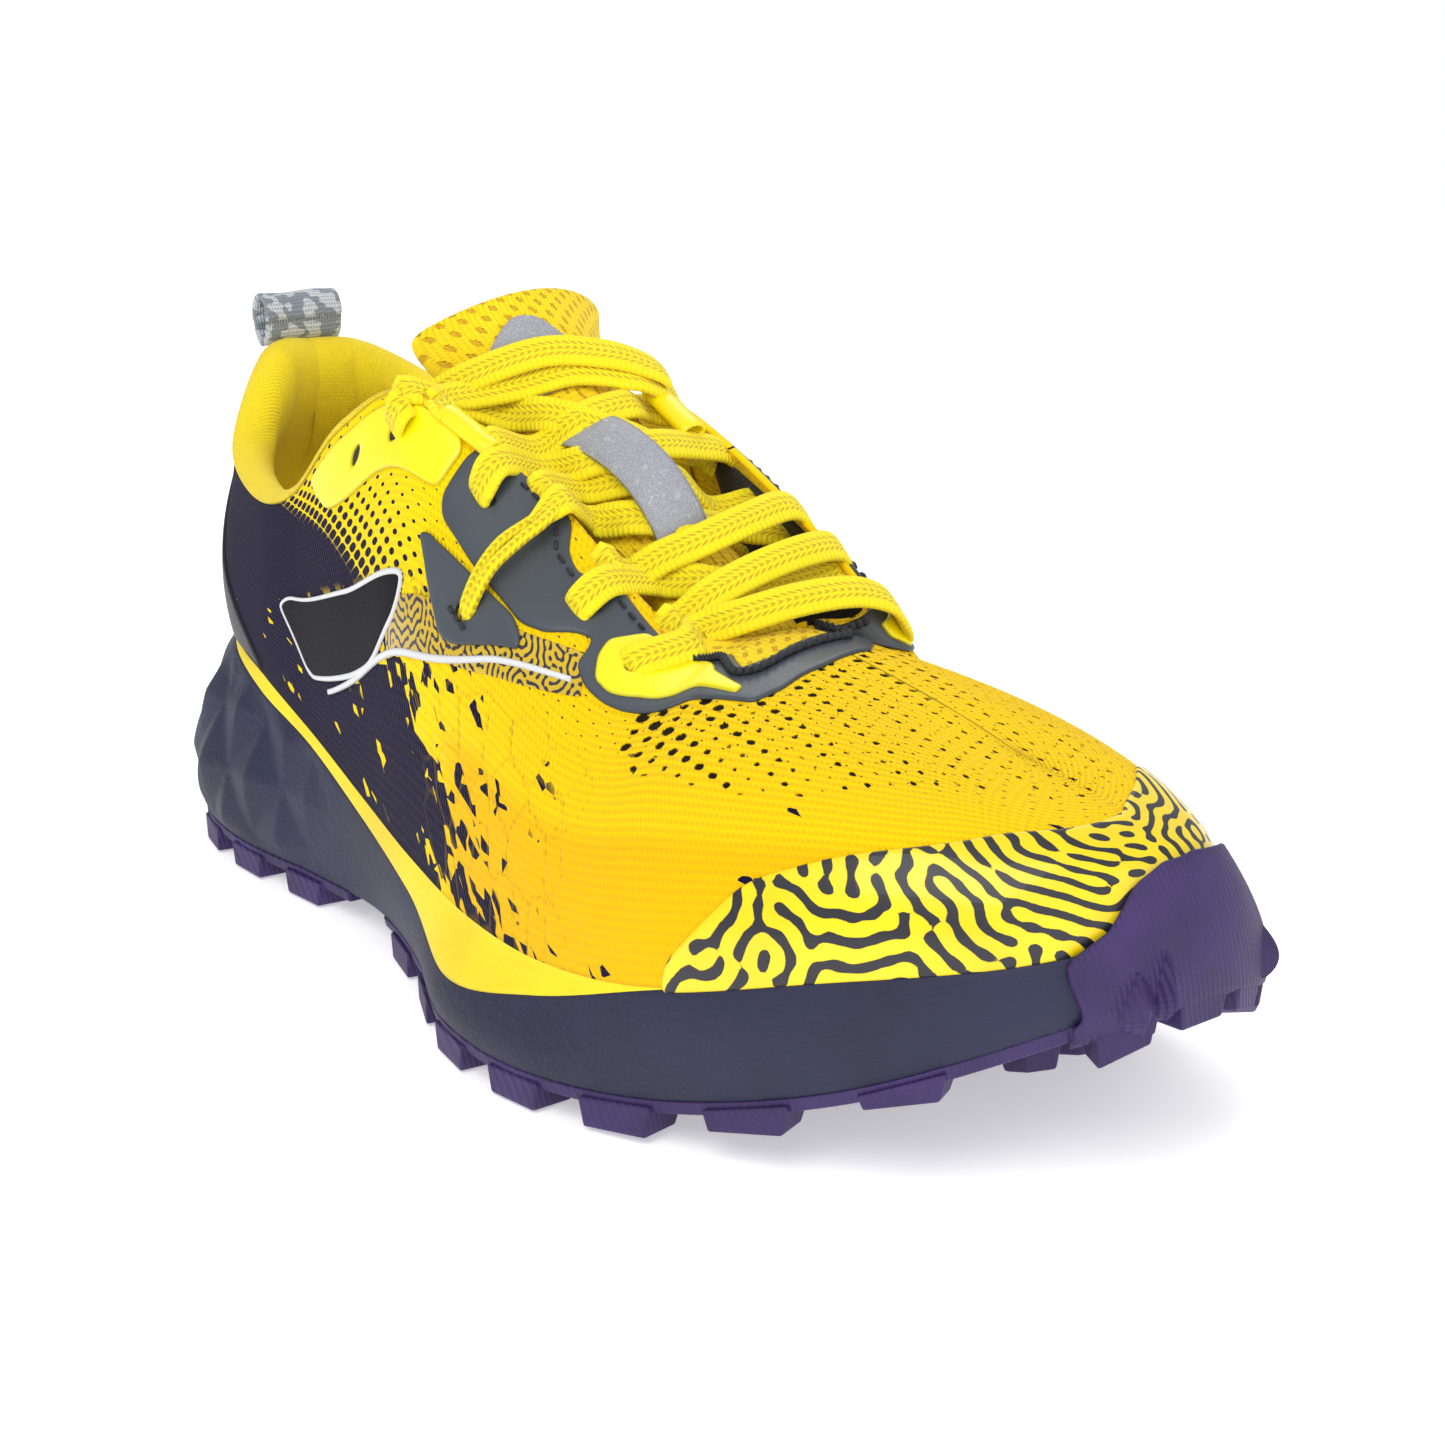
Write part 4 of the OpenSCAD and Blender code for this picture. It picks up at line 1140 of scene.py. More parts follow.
# Outlines as (station from the heel, height)
TOE_OUTLINE = [(9.08, -.01), (9.13, .05), (9.28, .10), (9.68, .22), (10.28, .29), (11.08, .36),
               (11.45, .43), (11.76, .52), (12.1, .60), (12.4, .58), (12.9, .46), (13.5, .36), (14.2, .26),
               (14.7, .12), (14.8, -.01)]
EYESTAY_SIDE = [(6.56, .985), (6.46, .91), (6.34, .76), (6.37, .71), (6.68, .67), (7.2, .645), (7.38, .68),
                (7.56, .755), (7.66, .78), (7.68, .74), (7.67, .69), (7.78, .66), (7.96, .65), (8.84, .64)]
EYESTAY_EDGE = [(6.75, .985), (7.18, .985), (7.26, .90), (7.38, .88), (7.5, .965), (7.68, .96)]
THROAT_FOOT = [(7.9, .94), (8.32, .885), (9.0, .815), (9.32, .785), (9.45, .86)]
THROAT_FOOT_INNER = [(9.3, .93), (8.7, .965), (8.2, .985)]
OUTER_TOE_PATCH = [(7.76, .75), (7.75, .81), (7.9, .91), (8.14, .905), (8.38, .86), (9.04, .745),
                   (9.5, .72), (9.47, .695), (8.68, .68), (8.22, .695), (7.98, .68), (7.84, .69)]
INNER_TOE_PATCH = [(8.0, .85), (8.3, .87), (8.42, .78), (8.30, .70), (8.08, .72)]
WING = [(6.20, .64), (6.28, .655), (6.36, .65), (7.14, .645), (7.25, .62), (7.27, .59), (6.70, .475),
        (6.55, .465), (6.36, .54)]
COLLAR_PATCH = [(4.40, .955), (4.52, .86), (4.68, .79), (4.86, .775), (5.5, .79), (5.8, .785), (5.95, .775),
                (6.16, .765), (6.28, .77), (6.33, .81), (6.42, .91), (6.38, .95), (6.2, .965), (5.06, .965)]
PANEL = [(3.55, .44), (3.75, .50), (6.05, .54), (5.95, .44), (5.5, .32), (4.1, .21)]
SADDLE_LINE = [(4.5, .21), (5.52, .33), (6.42, .40), (7.14, .53), (7.7, .645)]
HEEL_EDGE = [(3.02, .03), (2.58, .19), (2.08, .37), (1.55, .62), (1.15, .84), (0.8, .95)]
EYELETS = [(8.02, .79), (7.52, .845), (6.74, .56), (6.64, .84), (5.80, .88), (5.24, .88)]
THROAT_EYELETS = (0, 1, 3)                        # eyelets drawn about the throat


def slot_at(s, v, inner=False, long=4.4, wide=2.6, turn=0.5, across=on_wrap):
    """Small stadium-shaped hole at an eyelet, in pattern millimetres."""
    angle = np.linspace(0, 2 * math.pi, 12, endpoint=False)
    x, y = long / 2 * np.cos(angle), wide / 2 * np.sin(angle)
    turn = -turn if inner else turn
    if across is on_wrap:
        cx, cy = wrap([(s, v)], inner)[0]
    else:
        cx, cy = throat([(s, v)], 1 if inner else -1)[0]
    return [(cx + a * math.cos(turn) - b * math.sin(turn), cy + a * math.sin(turn) + b * math.cos(turn))
            for a, b in zip(x, y)]


def build_films():
    """Films, eyelet holes darkened with painted shade, and stitches over the knit."""
    maze = labyrinth(11, 190, 60, 3.5)
    low_x = TOE_OUTLINE[0][0] * STATION - 4
    film("toe_cap_film", wrap(TOE_OUTLINE), on_wrap, TOE_FILM, 0.15, 0.45, spacing=0.62, radius=4,
         fields={"maze": lambda p: maze(p[:, 0] - low_x, p[:, 1] + 6)}, stands_for=["toe_overlay"],
         slot="toe_film")
    outline = (throat(EYESTAY_SIDE) + throat([(9.66, .69), (9.84, .77), (9.92, .92)])
               + throat([(9.8, .91), (9.54, .84), (8.9, .76), (8.36, .69)], 1)
               + throat(EYESTAY_SIDE[-2::-1], 1) + throat(EYESTAY_EDGE, 1)
               + throat(THROAT_FOOT_INNER[::-1], 1) + throat(THROAT_FOOT[::-1]) + throat(EYESTAY_EDGE[::-1]))
    holes = [slot_at(s, v, inner, across=on_throat) for s, v in (EYELETS[1], EYELETS[3])
             for inner in (False, True)]
    film("eyestay", outline, on_throat, SLATE_FILM, 0.25, 0.45, radius=1.6, holes=holes,
         stands_for=["eyestay_overlay"], slot="slate_film")
    foot = (throat([(8.0, .99)]) + throat(THROAT_FOOT) + throat(THROAT_FOOT_INNER, 1)
            + throat([(8.2, .995), (9.0, .997)], 1) + throat([(9.0, .997)]))
    film("tongue_foot", foot, on_throat, TONGUE, 0.05, 0.5, radius=0.5, slot="tongue_mesh")
    for side, inner in (("outer", False), ("inner", True)):
        film(side + "_wing_film", wrap(WING, inner), on_wrap, SLATE_FILM, 0.7, 0.4, radius=1.8,
             holes=[slot_at(*EYELETS[2], inner)], stands_for=[side + "_wing"], slot="slate_film")
        film(side + "_collar_film", wrap(COLLAR_PATCH, inner), on_wrap, YELLOW_FILM, 0.3, 0.45, radius=2.5,
             holes=[slot_at(*EYELETS[4], inner), slot_at(*EYELETS[5], inner)],
             stands_for=[side + "_collar_patch"], slot="yellow_film")
        patch = INNER_TOE_PATCH if inner else OUTER_TOE_PATCH
        film(side + "_toe_film", throat(patch, 1 if inner else -1), on_throat, YELLOW_FILM, 0.8, 0.45,
             radius=1.2, holes=[slot_at(*EYELETS[0], inner, across=on_throat)],
             stands_for=[side + "_toe_patch"], slot="yellow_film")
        build_saddle(side, inner)
    heel = [(-s, v) for s, v in HEEL_EDGE] + HEEL_EDGE[::-1]
    film("heel_quarter_film", wrap(heel), on_wrap, HEEL_FILM, 0.2, 0.5, radius=3, stands_for=["heel_film"],
         slot="heel_film")
    clip = [(-1.75, .0), (-1.2, .27), (-.5, .34), (.5, .34), (1.2, .27), (1.75, .0)]
    film("heel_clip_shell", wrap(clip), on_wrap, CLIP_PLASTIC, 0.7, 1.6, radius=5, edge=2.0,
         stands_for=["heel_clip"], slot="clip_plastic")
    # Thin black sheets under the eyelet holes: painted shade that darkens the inside of each hole, partly the
    # black vamp lining behind it.
    for k, (s, v) in enumerate(EYELETS):
        across = on_throat if k in THROAT_EYELETS else on_wrap
        for side, inner in (("outer", False), ("inner", True)):
            film(f"{side}_eyelet_{k}", slot_at(s, v, inner, 5.0, 3.2, across=across), across, BLACK_LINING_AND_HOLE_SHADE,
                 0.08, 0.1, spacing=0.9, edge=0.3, slot="black_lining")
    cord = throat([(8.16, .875), (8.6, .825), (9.1, .775), (9.38, .755), (9.56, .84)])
    cord += throat([(9.5, .91), (9.1, .93), (8.6, .94), (8.34, .93)], 1)
    cord = spline(cord, np.linspace(0, len(cord) - 1, 60))
    stitches("throat_cord", cord, on_throat, DARK_THREAD, 1.0, length=2.1, gap=-0.3, size=0.75)
    for inner in (False, True):
        side = "inner" if inner else "outer"
        sign = 1 if inner else -1
        notch = throat([(6.8, .955), (7.1, .95), (7.2, .87), (7.42, .855), (7.55, .93), (7.9, .91)], sign)
        stitches(side + "_eyestay_stitches", notch, on_throat, DARK_THREAD, 0.8, length=1.6, gap=0.7)
        bar = wrap([(6.60, .545), (6.84, .525)], inner)
        stitches(side + "_wing_stitches", bar, on_wrap, DARK_THREAD, 1.3, length=1.4, gap=0.4, size=0.45)


def band(corners, width):
    """Outline of a band of some width along pattern corners."""
    fine = spline(corners, np.linspace(0, len(corners) - 1, 6 * len(corners)))
    ahead = unit(np.gradient(fine, axis=0))
    left = np.stack([-ahead[:, 1], ahead[:, 0]], -1) * width / 2
    return np.concatenate([fine + left, (fine - left)[::-1]])


PRINT_WIDTH = 0.95                                # width of the white printed lines


def build_saddle(side, inner):
    """Printed saddle film: a dark panel inside a white outline, a thin white line and a maze band."""
    maze = labyrinth(23 if inner else 5, 120, 60, 1.3, 0.2)
    x0 = (2 * HALF - 8.2 if inner else 5.4) * STATION
    path = wrap([(5.75, .40), (6.3, .45), (6.9, .52), (7.35, .59), (7.75, .68)], inner)
    film(side + "_saddle_print", band(path, 7.5), on_wrap, MAZE_FILM, 0.12, 0.2, spacing=0.36, radius=1,
         edge=0.4, fields={"maze": lambda p: maze(p[:, 0] - x0, p[:, 1])}, slot="saddle_film")
    film(side + "_saddle_panel", wrap(PANEL, inner), on_wrap, DARK_FILM, 0.15, 0.35, radius=4, edge=0.6,
         stands_for=[side + "_saddle_film"], slot="saddle_film")
    outline = rounded(wrap(PANEL, inner), 4, 1.2)
    after = np.roll(outline, -1, 0)
    turn = np.sign(np.sum(outline[:, 0] * after[:, 1] - outline[:, 1] * after[:, 0]))
    shrunk = outline + PRINT_WIDTH * turn * left_of(outline)
    for part, shape, holes in (("outline", outline, [shrunk[::2]]),
                               ("line", band(wrap(SADDLE_LINE, inner), PRINT_WIDTH), [])):
        film(f"{side}_saddle_{part}", shape, on_wrap, WHITE_PRINT, 0.4, 0.25, spacing=3, radius=0.2,
             edge=0.3, holes=holes, slot="saddle_film")


# ---------------------------------------------------------------- padding


CLOTH_STEPS = 20


def inflate(piece, cap, pinned, pressure=4.0):
    """Swells a closed pad with Blender's cloth under pressure and keeps each point within cap."""
    before = np.array([p.co for p in piece.data.vertices])
    cloth = piece.modifiers.new("Cloth", "CLOTH")
    settings = cloth.settings
    settings.use_pressure = True
    settings.uniform_pressure_force = pressure
    settings.effector_weights.gravity = 0
    settings.quality = 5
    settings.tension_stiffness = 15
    settings.compression_stiffness = 15
    group = piece.vertex_groups.new(name="pinned")
    group.add(np.nonzero(pinned)[0].tolist(), 1.0, "REPLACE")
    settings.vertex_group_mass = "pinned"
    for step in range(1, CLOTH_STEPS + 1):
        bpy.context.scene.frame_set(step)
    solved = piece.evaluated_get(bpy.context.evaluated_depsgraph_get())
    after = np.array([p.co for p in solved.data.vertices])
    move = after - before
    length = np.linalg.norm(move, axis=1, keepdims=True)
    move *= np.minimum(1, cap * MM / np.maximum(length, 1e-9))
    piece.modifiers.remove(cloth)
    piece.data.vertices.foreach_set("co", (before + move).astype(np.float32).ravel())
    piece.data.update()
    bpy.context.scene.frame_set(1)


def subdivided(piece):
    """Smooths a pad by one level of subdivision."""
    modifier = piece.modifiers.new("Subdivision", "SUBSURF")
    modifier.levels = 1
    modifier.render_levels = 1


# Height on the upper, distance outside it and rise above it, round the collar pad
COLLAR_PROFILE = [(1.0, .5, -.3), (1.0, .2, 1.0), (1.0, -1.6, 2.1), (1.0, -4.2, 2.3), (.992, -6.6, 1.2),
                  (.965, -8.2, 0), (.9, -9.0, 0), (.8, -8.6, 0), (.7, -7.2, 0), (.6, -5.2, 0), (.5, -3.4, 0),
                  (.42, -2.2, 0), (.5, -1.7, 0), (.7, -1.7, 0), (.9, -1.7, 0), (.98, -1.2, -.6)]


def build_collar():
    """Padded collar that rolls over the top edge, and the lining below it."""
    profile = spline(COLLAR_PROFILE, np.arange(0, len(COLLAR_PROFILE), 0.5), True)
    stations = np.linspace(-6.15, 6.15, 165)
    sections = []
    for u in stations:
        full = 1 - 0.75 * ease((abs(u) - 5.0) / 1.15)
        v, lift, up = profile.T
        lift = np.where(lift < -1.7, -1.7 + (lift + 1.7) * full, lift)
        sections.append(skin(np.full(len(v), u), np.minimum(v, 1), lift) + np.outer(up * full, [0, 0, 1]))
    points, faces = loft_rows(sections)
    count = len(profile)
    across = np.tile(np.arange(count) * 1.6, len(stations))
    uv = np.stack([np.repeat(stations * STATION, count), across], -1)
    pinned = np.tile((profile[:, 1] > -1.75), len(stations))
    pinned |= np.repeat(np.abs(stations) > 5.9, count)
    piece = make("collar_padding", points, faces, LINING, uv=uv, stands_for=["collar_foam"],
                 slot="lining_fabric")
    inflate(piece, 1.6, pinned)
    subdivided(piece)
    build_lining("quarter_lining", np.linspace(-6.6, 6.6, 181), np.linspace(0.03, 0.62, 22), -1.9, LINING,
                 ["collar_lining"], "lining_fabric")
    build_lining("vamp_lining", np.linspace(6.5, 17.5, 201), np.linspace(0.03, 0.93, 30), -1.55,
                 BLACK_LINING_AND_HOLE_SHADE, ["eyestay_lining"], "black_lining")


def build_lining(name, us, vs, lift, material, nodes, slot):
    """Thin lining inside the upper, between two rows of stations and heights."""
    u, v = np.meshgrid(us, vs)
    outer = skin(u, v, lift + 0 * u)
    inner = skin(u, v, lift - 0.7 + 0 * u)
    rows, cols = u.shape
    faces = lattice(rows, cols)
    count = rows * cols
    ids = np.arange(count).reshape(rows, cols)
    rim = np.concatenate([ids[0], ids[1:, -1], ids[-1, -2::-1], ids[-2:0:-1, 0]])
    ahead = np.roll(rim, -1)
    sides = np.stack([rim, rim + count, ahead + count, ahead], -1)
    faces = np.concatenate([faces, faces[:, ::-1] + count, sides])
    uv = np.stack([u.ravel() * STATION, v.ravel() * RISE], -1)
    return make(name, np.concatenate([outer.reshape(-1, 3), inner.reshape(-1, 3)]), faces, material,
                uv=np.tile(uv, (2, 1)), stands_for=nodes, slot=slot)


TONGUE_MIDDLE = -3.6                              # middle of the pad below the tongue's face


def build_tongue():
    """Padded tongue, its badge and the keeper strap."""
    across = np.sin(np.linspace(-math.pi / 2, math.pi / 2, 41))
    lengths = np.sin(np.linspace(0, math.pi / 2, 61))
    sections = []
    for t in lengths:
        edge = np.sqrt(np.clip(1 - across ** 2, 0, 1)) ** 0.6
        end = math.sqrt(1 - max((t - 0.93) / 0.07, 0) ** 2)
        thick = (3.4 * edge + 0.3) * (0.15 + 0.85 * end)
        narrow = 1 - 0.28 * (1 - math.sqrt(1 - max((t - 0.8) / 0.2, 0) ** 2))
        top = tongue(t, across * narrow, TONGUE_MIDDLE + thick)
        bottom = tongue(t, across * narrow, TONGUE_MIDDLE - thick)
        sections.append(np.concatenate([top, bottom[::-1][1:-1]]))
    points, faces = loft_rows(sections)
    count = len(sections[0])
    side = np.concatenate([across, across[::-1][1:-1]])
    uv = np.stack([np.repeat(lengths * 80, count), np.tile(side * 22, len(lengths))], -1)
    piece = make("tongue_pad", points, faces, TONGUE, body=None, uv=uv)
    pinned = np.tile(np.abs(side) > 0.97, len(lengths))
    pinned |= np.repeat((lengths < 0.05) | (lengths > 0.93), count)
    inflate(piece, 0.8, pinned)
    subdivided(piece)
    hinge, above = place(tongue(0.0, 0.0)), place(tongue(0.22, 0.0))
    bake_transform(piece)
    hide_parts("tongue_face", "tongue_foam", "tongue_lining")
    badge = [(66.5, -7.5), (64.5, -4.0), (55.5, .8), (46, 0), (48, -16), (59.5, -15.8), (64, -11)]
    film("tongue_badge_film", badge, on_tongue, REFLECTIVE, 0.9, 0.5, radius=1.5, body="tongue",
         stands_for=["tongue_badge"], slot="reflective_film")
    build_keeper()


def build_keeper():
    """Reflective strap that arches over the lace rows."""
    sections = []
    for k in np.linspace(0, 1, 41):
        t = 0.23 + 0.26 * k
        lift = 2.2 + 4.6 * math.sin(math.pi * k) ** 0.7
        half = 0.42 - 0.10 * k
        side = np.linspace(-half, half, 9) - 0.29 - 0.22 * k
        top = tongue(t, side, lift + 0.7)
        bottom = tongue(t, side, lift)
        sections.append(np.concatenate([top, bottom[::-1]]))
    points, faces = loft_rows(sections)
    make("lace_keeper_strap", points, faces, REFLECTIVE, "tongue", stands_for=["lace_keeper"],
         slot="reflective_film")


# ---------------------------------------------------------------- laces

LACE_WIDTH = 7.2
LACE_THICKNESS = 1.9
UP_TONGUE = np.array([-0.76, 0, 0.65])


def lace_sections(path, width=LACE_WIDTH, thick=LACE_THICKNESS, across=UP_TONGUE, start_width=1.0):
    """Cross-sections of a flat lace along control points, and the pattern coordinates of their points.
    across is the direction of its width, and start_width the share of it at the first point."""
    path = np.asarray(path, float)
    line = spline(path, np.linspace(0, len(path) - 1, 200))
    length = np.concatenate([[0], np.cumsum(np.linalg.norm(np.diff(line, axis=0), axis=1))])
    places = np.linspace(0, length[-1], max(8, int(length[-1])))
    line = np.stack([np.interp(places, length, line[:, k]) for k in range(3)], -1)
    ahead = unit(np.gradient(line, axis=0))
    side = unit(across - ahead * (ahead @ across)[:, None])
    up = np.cross(side, ahead)
    angle = np.linspace(0, 2 * math.pi, 20, endpoint=False)
    a = np.sign(np.cos(angle)) * np.abs(np.cos(angle)) ** 0.75 * width / 2
    b = np.sign(np.sin(angle)) * np.abs(np.sin(angle)) ** 0.6 * thick / 2
    share = (start_width + (1 - start_width) * ease(places / 9.0))[:, None, None]
    sections = line[:, None] + share * a[:, None] * side[:, None] + b[:, None] * up[:, None]
    return sections, np.stack(np.broadcast_arrays(places[:, None], a), -1)


def lace_piece(name, sections, uv, **options):
    """Mesh of a lace from its cross-sections."""
    points, faces = loft_rows(sections)
    piece = make(name, points, faces, LACE, uv=uv.reshape(-1, 2), slot="lace_cord", **options)
    piece.data.set_sharp_from_angle(angle=math.radians(60))
    return piece


def on_shoe(s, v, lift):
    """Point over the outer side of the upper."""
    return skin(s, v, lift)


# Lace runs from the outer to the inner side, as points on the upper, on the tongue or in the air
LACE_RUNS = {
    "lace_c": [on_shoe(7.46, .79, -1.5), on_shoe(7.5, .82, 1.8), on_shoe(7.55, .93, 2.4),
               tongue(.18, -1.0, 2.2), tongue(.14, -.5, 2.0), tongue(.10, .25, 2.2),
               (185, 16, 83.2), (186, 22, 84), (187, 24, 80)],
    "lace_e": [on_shoe(6.55, .93, -3), on_shoe(6.6, 1, 1.5), tongue(.51, -1.0, 2.4),
               tongue(.51, -.54, 2.6), tongue(.51, .2, 2.8), tongue(.53, .75, 2.6),
               (137.5, 19, 108.5), (136, 23, 105)],
    "lace_b": [on_shoe(5.9, .95, -1.5), on_shoe(5.95, 1, 1.5), tongue(.62, -1.05, 2.2),
               tongue(.55, -.72, 2.2), tongue(.48, -.36, 2.2), tongue(.43, .26, 2.2),
               (143, 17, 101), (144.5, 22, 98)],
    "lace_g": [on_shoe(6.9, .93, -3), on_shoe(6.95, 1, 1.0), tongue(.41, -.95, 2.0),
               tongue(.37, -.44, 2.0), tongue(.35, .33, 2.0), tongue(.31, .9, 1.8),
               (159.5, 21, 93), (161, 24, 90)],
    "lace_f": [on_shoe(7.04, .86, 3.6), on_shoe(7.08, .93, 3.8), on_shoe(7.12, 1, 3.2),
               tongue(.345, -1.1, 3.2), tongue(.30, -.75, 3.0), tongue(.25, -.15, 2.8),
               (164, 12, 90), (167.5, 20, 88.5), (169, 23, 86)],
    "lace_a4": [on_shoe(6.58, .825, -1.5), on_shoe(6.62, .85, 1.8), on_shoe(6.68, .95, 2.8),
                tongue(.47, -1.1, 3.6), tongue(.43, -.72, 3.8), tongue(.41, .06, 4.2),
                (149.5, 14, 104), (148.5, 21, 102), (147.5, 24.5, 98)],
    "lace_d": [on_shoe(7.5, .93, -3), on_shoe(7.45, 1, .8), (167.4, -15, 85.6), (170.7, -9.5, 88.6),
               (174.2, -2, 91.6), (175, 8, 94.2), (174, 17, 95.2), (173, 22, 92.6), (172, 24.5, 88)],
    "lace_a": [on_shoe(8.0, .93, -3), on_shoe(7.95, 1, 1.0), (181.7, -13.5, 79), (184.2, -8, 83.6),
               (185.5, 2, 87.1), (186.2, 12, 89), (185, 20, 88.6), (184, 23.5, 85.6), (183.5, 26, 81)],
    "lace_bar": [on_shoe(7.95, .785, -1.5), on_shoe(8.02, .80, 1.8), on_shoe(8.25, .90, 2.6),
                 (186, -13, 77.5), (191.7, -7, 80.4), (196.3, 3, 82.8), (199.2, 13, 83.2),
                 (200.4, 20, 81), (199.4, 24.5, 76.6), (197.5, 27, 73.5)]}
# The two thin strands from the outer wing's eyelet up to lace_f, and how far each drifts aside
STRAND = [on_shoe(6.76, .545, -1.0), on_shoe(6.80, .58, 1.8), on_shoe(6.86, .68, 2.4),
          on_shoe(6.95, .78, 3.4), on_shoe(7.05, .87, 3.8), on_shoe(7.1, .95, 3.6)]
STRAND_DRIFT = np.outer([0, 0.5, 1.2, 1.5, 1.2, 0.4], [1.35, 0.375, 0.15])


def crossing(name, path, **options):
    """Lace over the tongue, as two halves split where it crosses the tongue's middle."""
    sections, uv = lace_sections(path, **options)
    line = sections.mean(1)
    middle = int(np.argmin(np.abs(line[:, 1] - TONGUE_Y)))
    for k, rows in enumerate((slice(None, middle + 1), slice(middle, None))):
        piece = lace_piece(f"{name}_{'ab'[k]}", sections[rows], uv[rows], body=None)
        edge = line[-1] if k else line[0]
        edge = [edge[0], edge[1] * 0.75, edge[2]]
        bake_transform(piece)
        if name == "lace_bar":
            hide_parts("lace")


def build_laces():
    """The laced runs, with their halves named a and b."""
    for name, path in LACE_RUNS.items():
        crossing(name, path, start_width=0.5 if name == "lace_f" else 1.0)
    for k, way in enumerate((-1, 1)):
        path = np.array(STRAND) + way * STRAND_DRIFT
        path[2] = on_shoe(6.86, .68, 2.4 + k) + way * STRAND_DRIFT[2]
        lace_piece(f"lace_f_strand_{k}", *lace_sections(path, width=2.3, thick=1.8))
    build_lace_ends()


# The top runs, and the root and the direction of the aglet at their ends
LACE_ENDS = {
    "outer": ([(134.5, 19, 112), (135.8, 12, 115.5), (135, 7, 117.2), (130, -2, 118.6), (124.6, -11, 116.2),
               (120.5, -19, 114.8), (119.5, -25, 114.4), (122.5, -28.6, 114.2)],
              (126.0, -29.4, 113.2), (0.87, 0.2, -0.45)),
    "inner": ([on_shoe(5.8, .875, -2.0), on_shoe(5.83, .895, 1.4), on_shoe(5.95, .95, 2.6),
               (112.3, -26, 113.2), (118.6, -18, 118.3), (125.9, -6, 122.4), (132.3, 5, 121.4),
               (135.2, 13, 118.4), (134.5, 17, 116)],
              (134.8, 14.5, 112.8), (0.9, 0, -0.43))}
# Places along an aglet and its size there; the last two turn back inside the tube
AGLET_ALONG = [-0.5, 0.4, 3, 7, 11, 13.6, 14.2, 14.2, 13.6, 11.0]
AGLET_SIZE = [0.82, 1, 0.96, 1, 0.98, 1.0, 0.94, 0.78, 0.7, 0.66]
AGLET_WIDE, AGLET_HIGH = 2.9, 1.9                 # half its width and height


def build_lace_ends():
    """The two top runs that cross over the tongue and end in aglets."""
    for side, (path, start, lean) in LACE_ENDS.items():
        start, lean = np.array(start, float), unit(np.array(lean, float))
        body = side + "_lace_end"
        crossing(f"lace_top_{side}", path)
        last = np.array(path[-1], float)
        turn = [last, (last + start) / 2 - lean * 0.8 + [0, 0, 0.3], start, start + lean * 1.5]
        sections, uv = lace_sections(turn, width=6.0, across=np.array([0, 1.0, 0]))
        lace_piece(f"{side}_lace_turn", sections, uv, body=body, stands_for=[side + "_lace_end"])
        build_aglet(side, body, start + lean * 0.5, lean)


def build_aglet(side, body, tip, lean):
    """Flattened plastic tube with an open end."""
    across = unit(np.cross(lean, [0, 0, 1.0]))
    up = unit(np.cross(across, lean))
    angle = np.linspace(0, 2 * math.pi, 28, endpoint=False)
    ring = np.outer(np.cos(angle), across) * AGLET_WIDE + np.outer(np.sin(angle), up) * AGLET_HIGH
    sections = [tip + lean * a + ring * k for a, k in zip(AGLET_ALONG, AGLET_SIZE)]
    points, faces = loft_rows(sections)
    make(f"{side}_aglet_tube", points, faces, AGLET, body, stands_for=[side + "_aglet"], slot="aglet_plastic",
         fields={"rim": np.full(len(points), 1.0)})


# ---------------------------------------------------------------- insole and pull loop


def build_insole():
    """Board of the insole inside the shoe."""
    rings = []
    for inwards, down in ((13, 11.2), (12.2, 9.6), (11.6, 8.0), (12.4, 7.0), (15, 6.6), (22, 6.4)):
        rings.append(spline(FEATHER, AROUND, True) - outward(AROUND) * inwards - [0, 0, down])
    points, faces = loft(rings)
    uv = points[:, :2]
    make("insole_board", points, faces, INSOLE, "insole", stands_for=["insole", "strobel_board"], uv=uv,
         slot="insole_foam")


def build_loop():
    """Flattened tube of webbing at the heel."""
    low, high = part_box("heel_pull_loop")
    low, high = np.array(low) / MM + CENTRE, np.array(high) / MM + CENTRE
    middle, size = (low + high) / 2, high - low
    count, steps = 72, 21
    angle = np.linspace(0, 2 * math.pi, count, endpoint=False)
    c, s = np.cos(angle), np.sin(angle)
    shape = np.stack([c * (0.8 + 0.2 * np.abs(c)) * np.where(s > 0, 1, 0.85), 0 * angle,
                      np.sign(s) * np.abs(s) ** 0.8], -1)
    sections = []
    across = np.concatenate([np.linspace(-0.5, 0.5, steps), np.linspace(0.5, -0.5, steps)])
    inner = np.repeat([0, 1], steps)
    for a, k in zip(across, inner):
        half = np.array([size[0] / 2, 1, size[2] / 2]) - np.array([1, 0, 1]) * (1.3 * k)
        wobble = 1 + 0.03 * math.sin(a * 9)
        sections.append(middle + shape * half * wobble + [0.8 * a, a * size[1], 0])
    points = np.array(sections).reshape(-1, 3)
    faces = lattice(2 * steps, count, True).tolist()
    last = (2 * steps - 1) * count
    faces += [[last + i, last + (i + 1) % count, (i + 1) % count, i] for i in range(count)]
    uv = np.stack([np.tile(np.arange(count) * 0.45, 2 * steps), np.repeat(across * 19, count)], -1)
    make("pull_loop_webbing", points, faces, WEBBING, "pull_loop", stands_for=["heel_pull_loop"], uv=uv,
         slot="webbing")


# ---------------------------------------------------------------- stage

CAMERA_AT = (570.307, -288.761, 197.059)          # drawn millimetres
CAMERA_TURN = (2.5104, -0.2826, -0.0219)          # yaw, pitch and roll in radians
CAMERA_LENS = 65.54
FLOOR_GLOW = 0.42
FLOOR_REACH = 12.0                                # metres from the middle to the floor's edge
WORLD_GLOW = 0.6                                  # light from around; the camera sees it as white

# Name, place and side in metres, and power in watts
LAMPS = (("key", (0.45, -0.7, 1.0), 0.8, 6.6), ("fill", (0.95, 0.35, 0.6), 0.8, 2.2),
         ("back", (-0.6, 0.5, 0.9), 0.7, 2.6), ("front", (0.8, -0.3, 0.25), 0.5, 0.5))


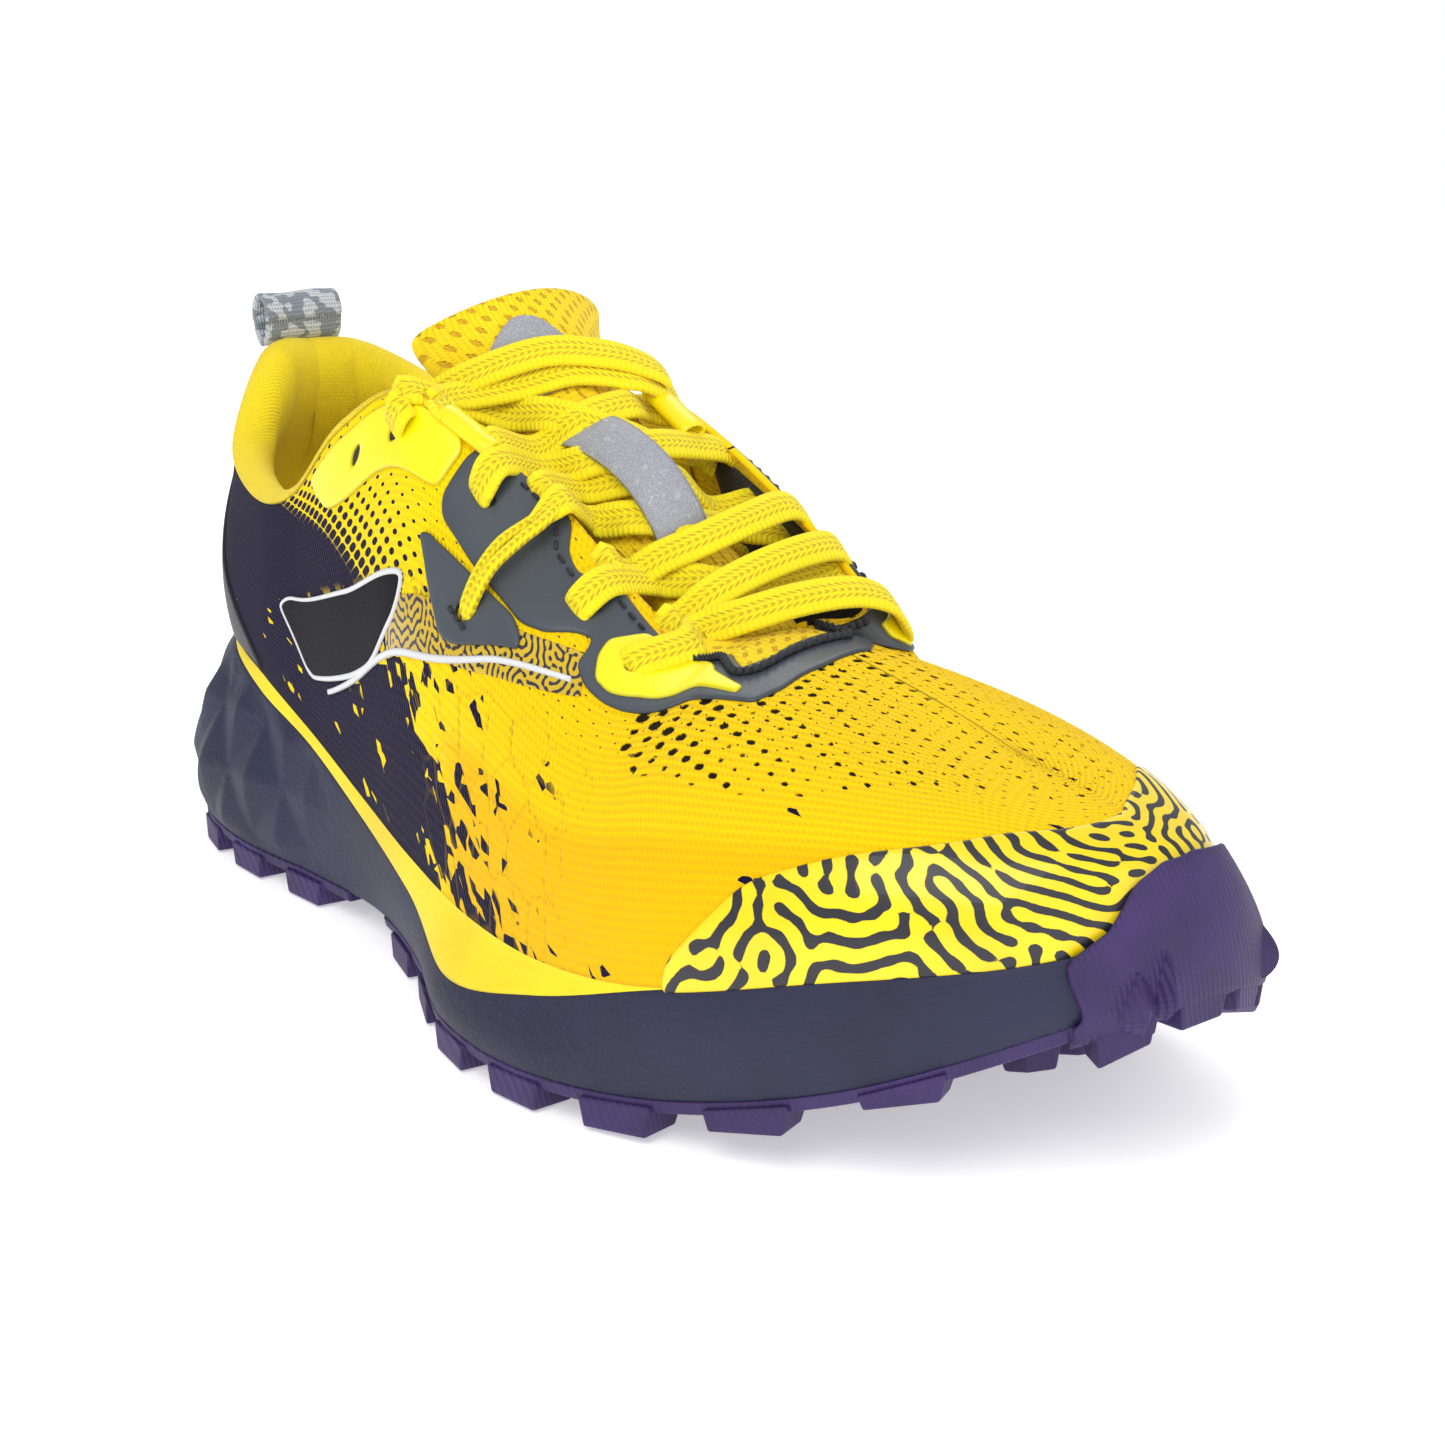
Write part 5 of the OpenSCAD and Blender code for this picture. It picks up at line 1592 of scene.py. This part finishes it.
def build_stage():
    """Camera, pale floor, soft lamps and world."""
    camera = bpy.data.objects.new("Camera", bpy.data.cameras.new("Camera"))
    camera.data.lens = CAMERA_LENS
    camera.data.sensor_width = 36
    yaw, pitch, roll = CAMERA_TURN
    forward = Vector((math.cos(yaw) * math.cos(pitch), math.sin(yaw) * math.cos(pitch), math.sin(pitch)))
    right = forward.cross(Vector((0, 0, 1))).normalized()
    up = right.cross(forward)
    right, up = (math.cos(roll) * right + math.sin(roll) * up, -math.sin(roll) * right + math.cos(roll) * up)
    turn = Matrix((right, up, -forward)).transposed().to_4x4()
    camera.matrix_world = Matrix.Translation(Vector(place(CAMERA_AT))) @ turn
    bpy.context.scene.collection.objects.link(camera)
    bpy.context.scene.camera = camera

    floor_look = Look("floor", rough=0.9)
    grain = floor_look.noise(floor_look.solid(), 0.02, 3)
    floor_look.set("Base Color", floor_look.mix(grain, rgb("#fdfdfd"), rgb("#f8f8f8")))
    floor_look.set("Emission Color", (1, 1, 1, 1))
    floor_look.set("Emission Strength", FLOOR_GLOW)
    mesh = bpy.data.meshes.new("floor")
    level = CAD_LOW.z - 0.0005
    corners = [(x * FLOOR_REACH, y * FLOOR_REACH, level) for x, y in ((-1, -1), (1, -1), (1, 1), (-1, 1))]
    mesh.from_pydata(corners, [], [(0, 1, 2, 3)])
    mesh.materials.append(floor_look.material)
    floor = bpy.data.objects.new("floor", mesh)
    bpy.context.scene.collection.objects.link(floor)

    for name, at, size, power in LAMPS:
        light = bpy.data.lights.new(name, "AREA")
        light.size = size
        light.energy = power
        lamp = bpy.data.objects.new(name, light)
        lamp.location = at
        lamp.rotation_mode = "QUATERNION"
        lamp.rotation_quaternion = (Vector((0, 0, 0.05)) - Vector(at)).to_track_quat("-Z", "Y")
        bpy.context.scene.collection.objects.link(lamp)
    world = bpy.data.worlds.new("studio")
    world.use_nodes = True
    backdrop = world.node_tree.nodes["Background"]
    backdrop.inputs[0].default_value = (1, 1, 1, 1)
    seen = world.node_tree.nodes.new("ShaderNodeLightPath").outputs["Is Camera Ray"]
    strength = world.node_tree.nodes.new("ShaderNodeMapRange")
    strength.inputs["To Min"].default_value = WORLD_GLOW
    world.node_tree.links.new(seen, strength.inputs["Value"])
    world.node_tree.links.new(strength.outputs[0], backdrop.inputs[1])
    bpy.context.scene.world = world
    bpy.context.scene.view_settings.view_transform = "Standard"


build_midsole()
build_outsole()
build_knit()
build_films()
build_collar()
build_tongue()
build_laces()
build_insole()
build_loop()
build_stage()
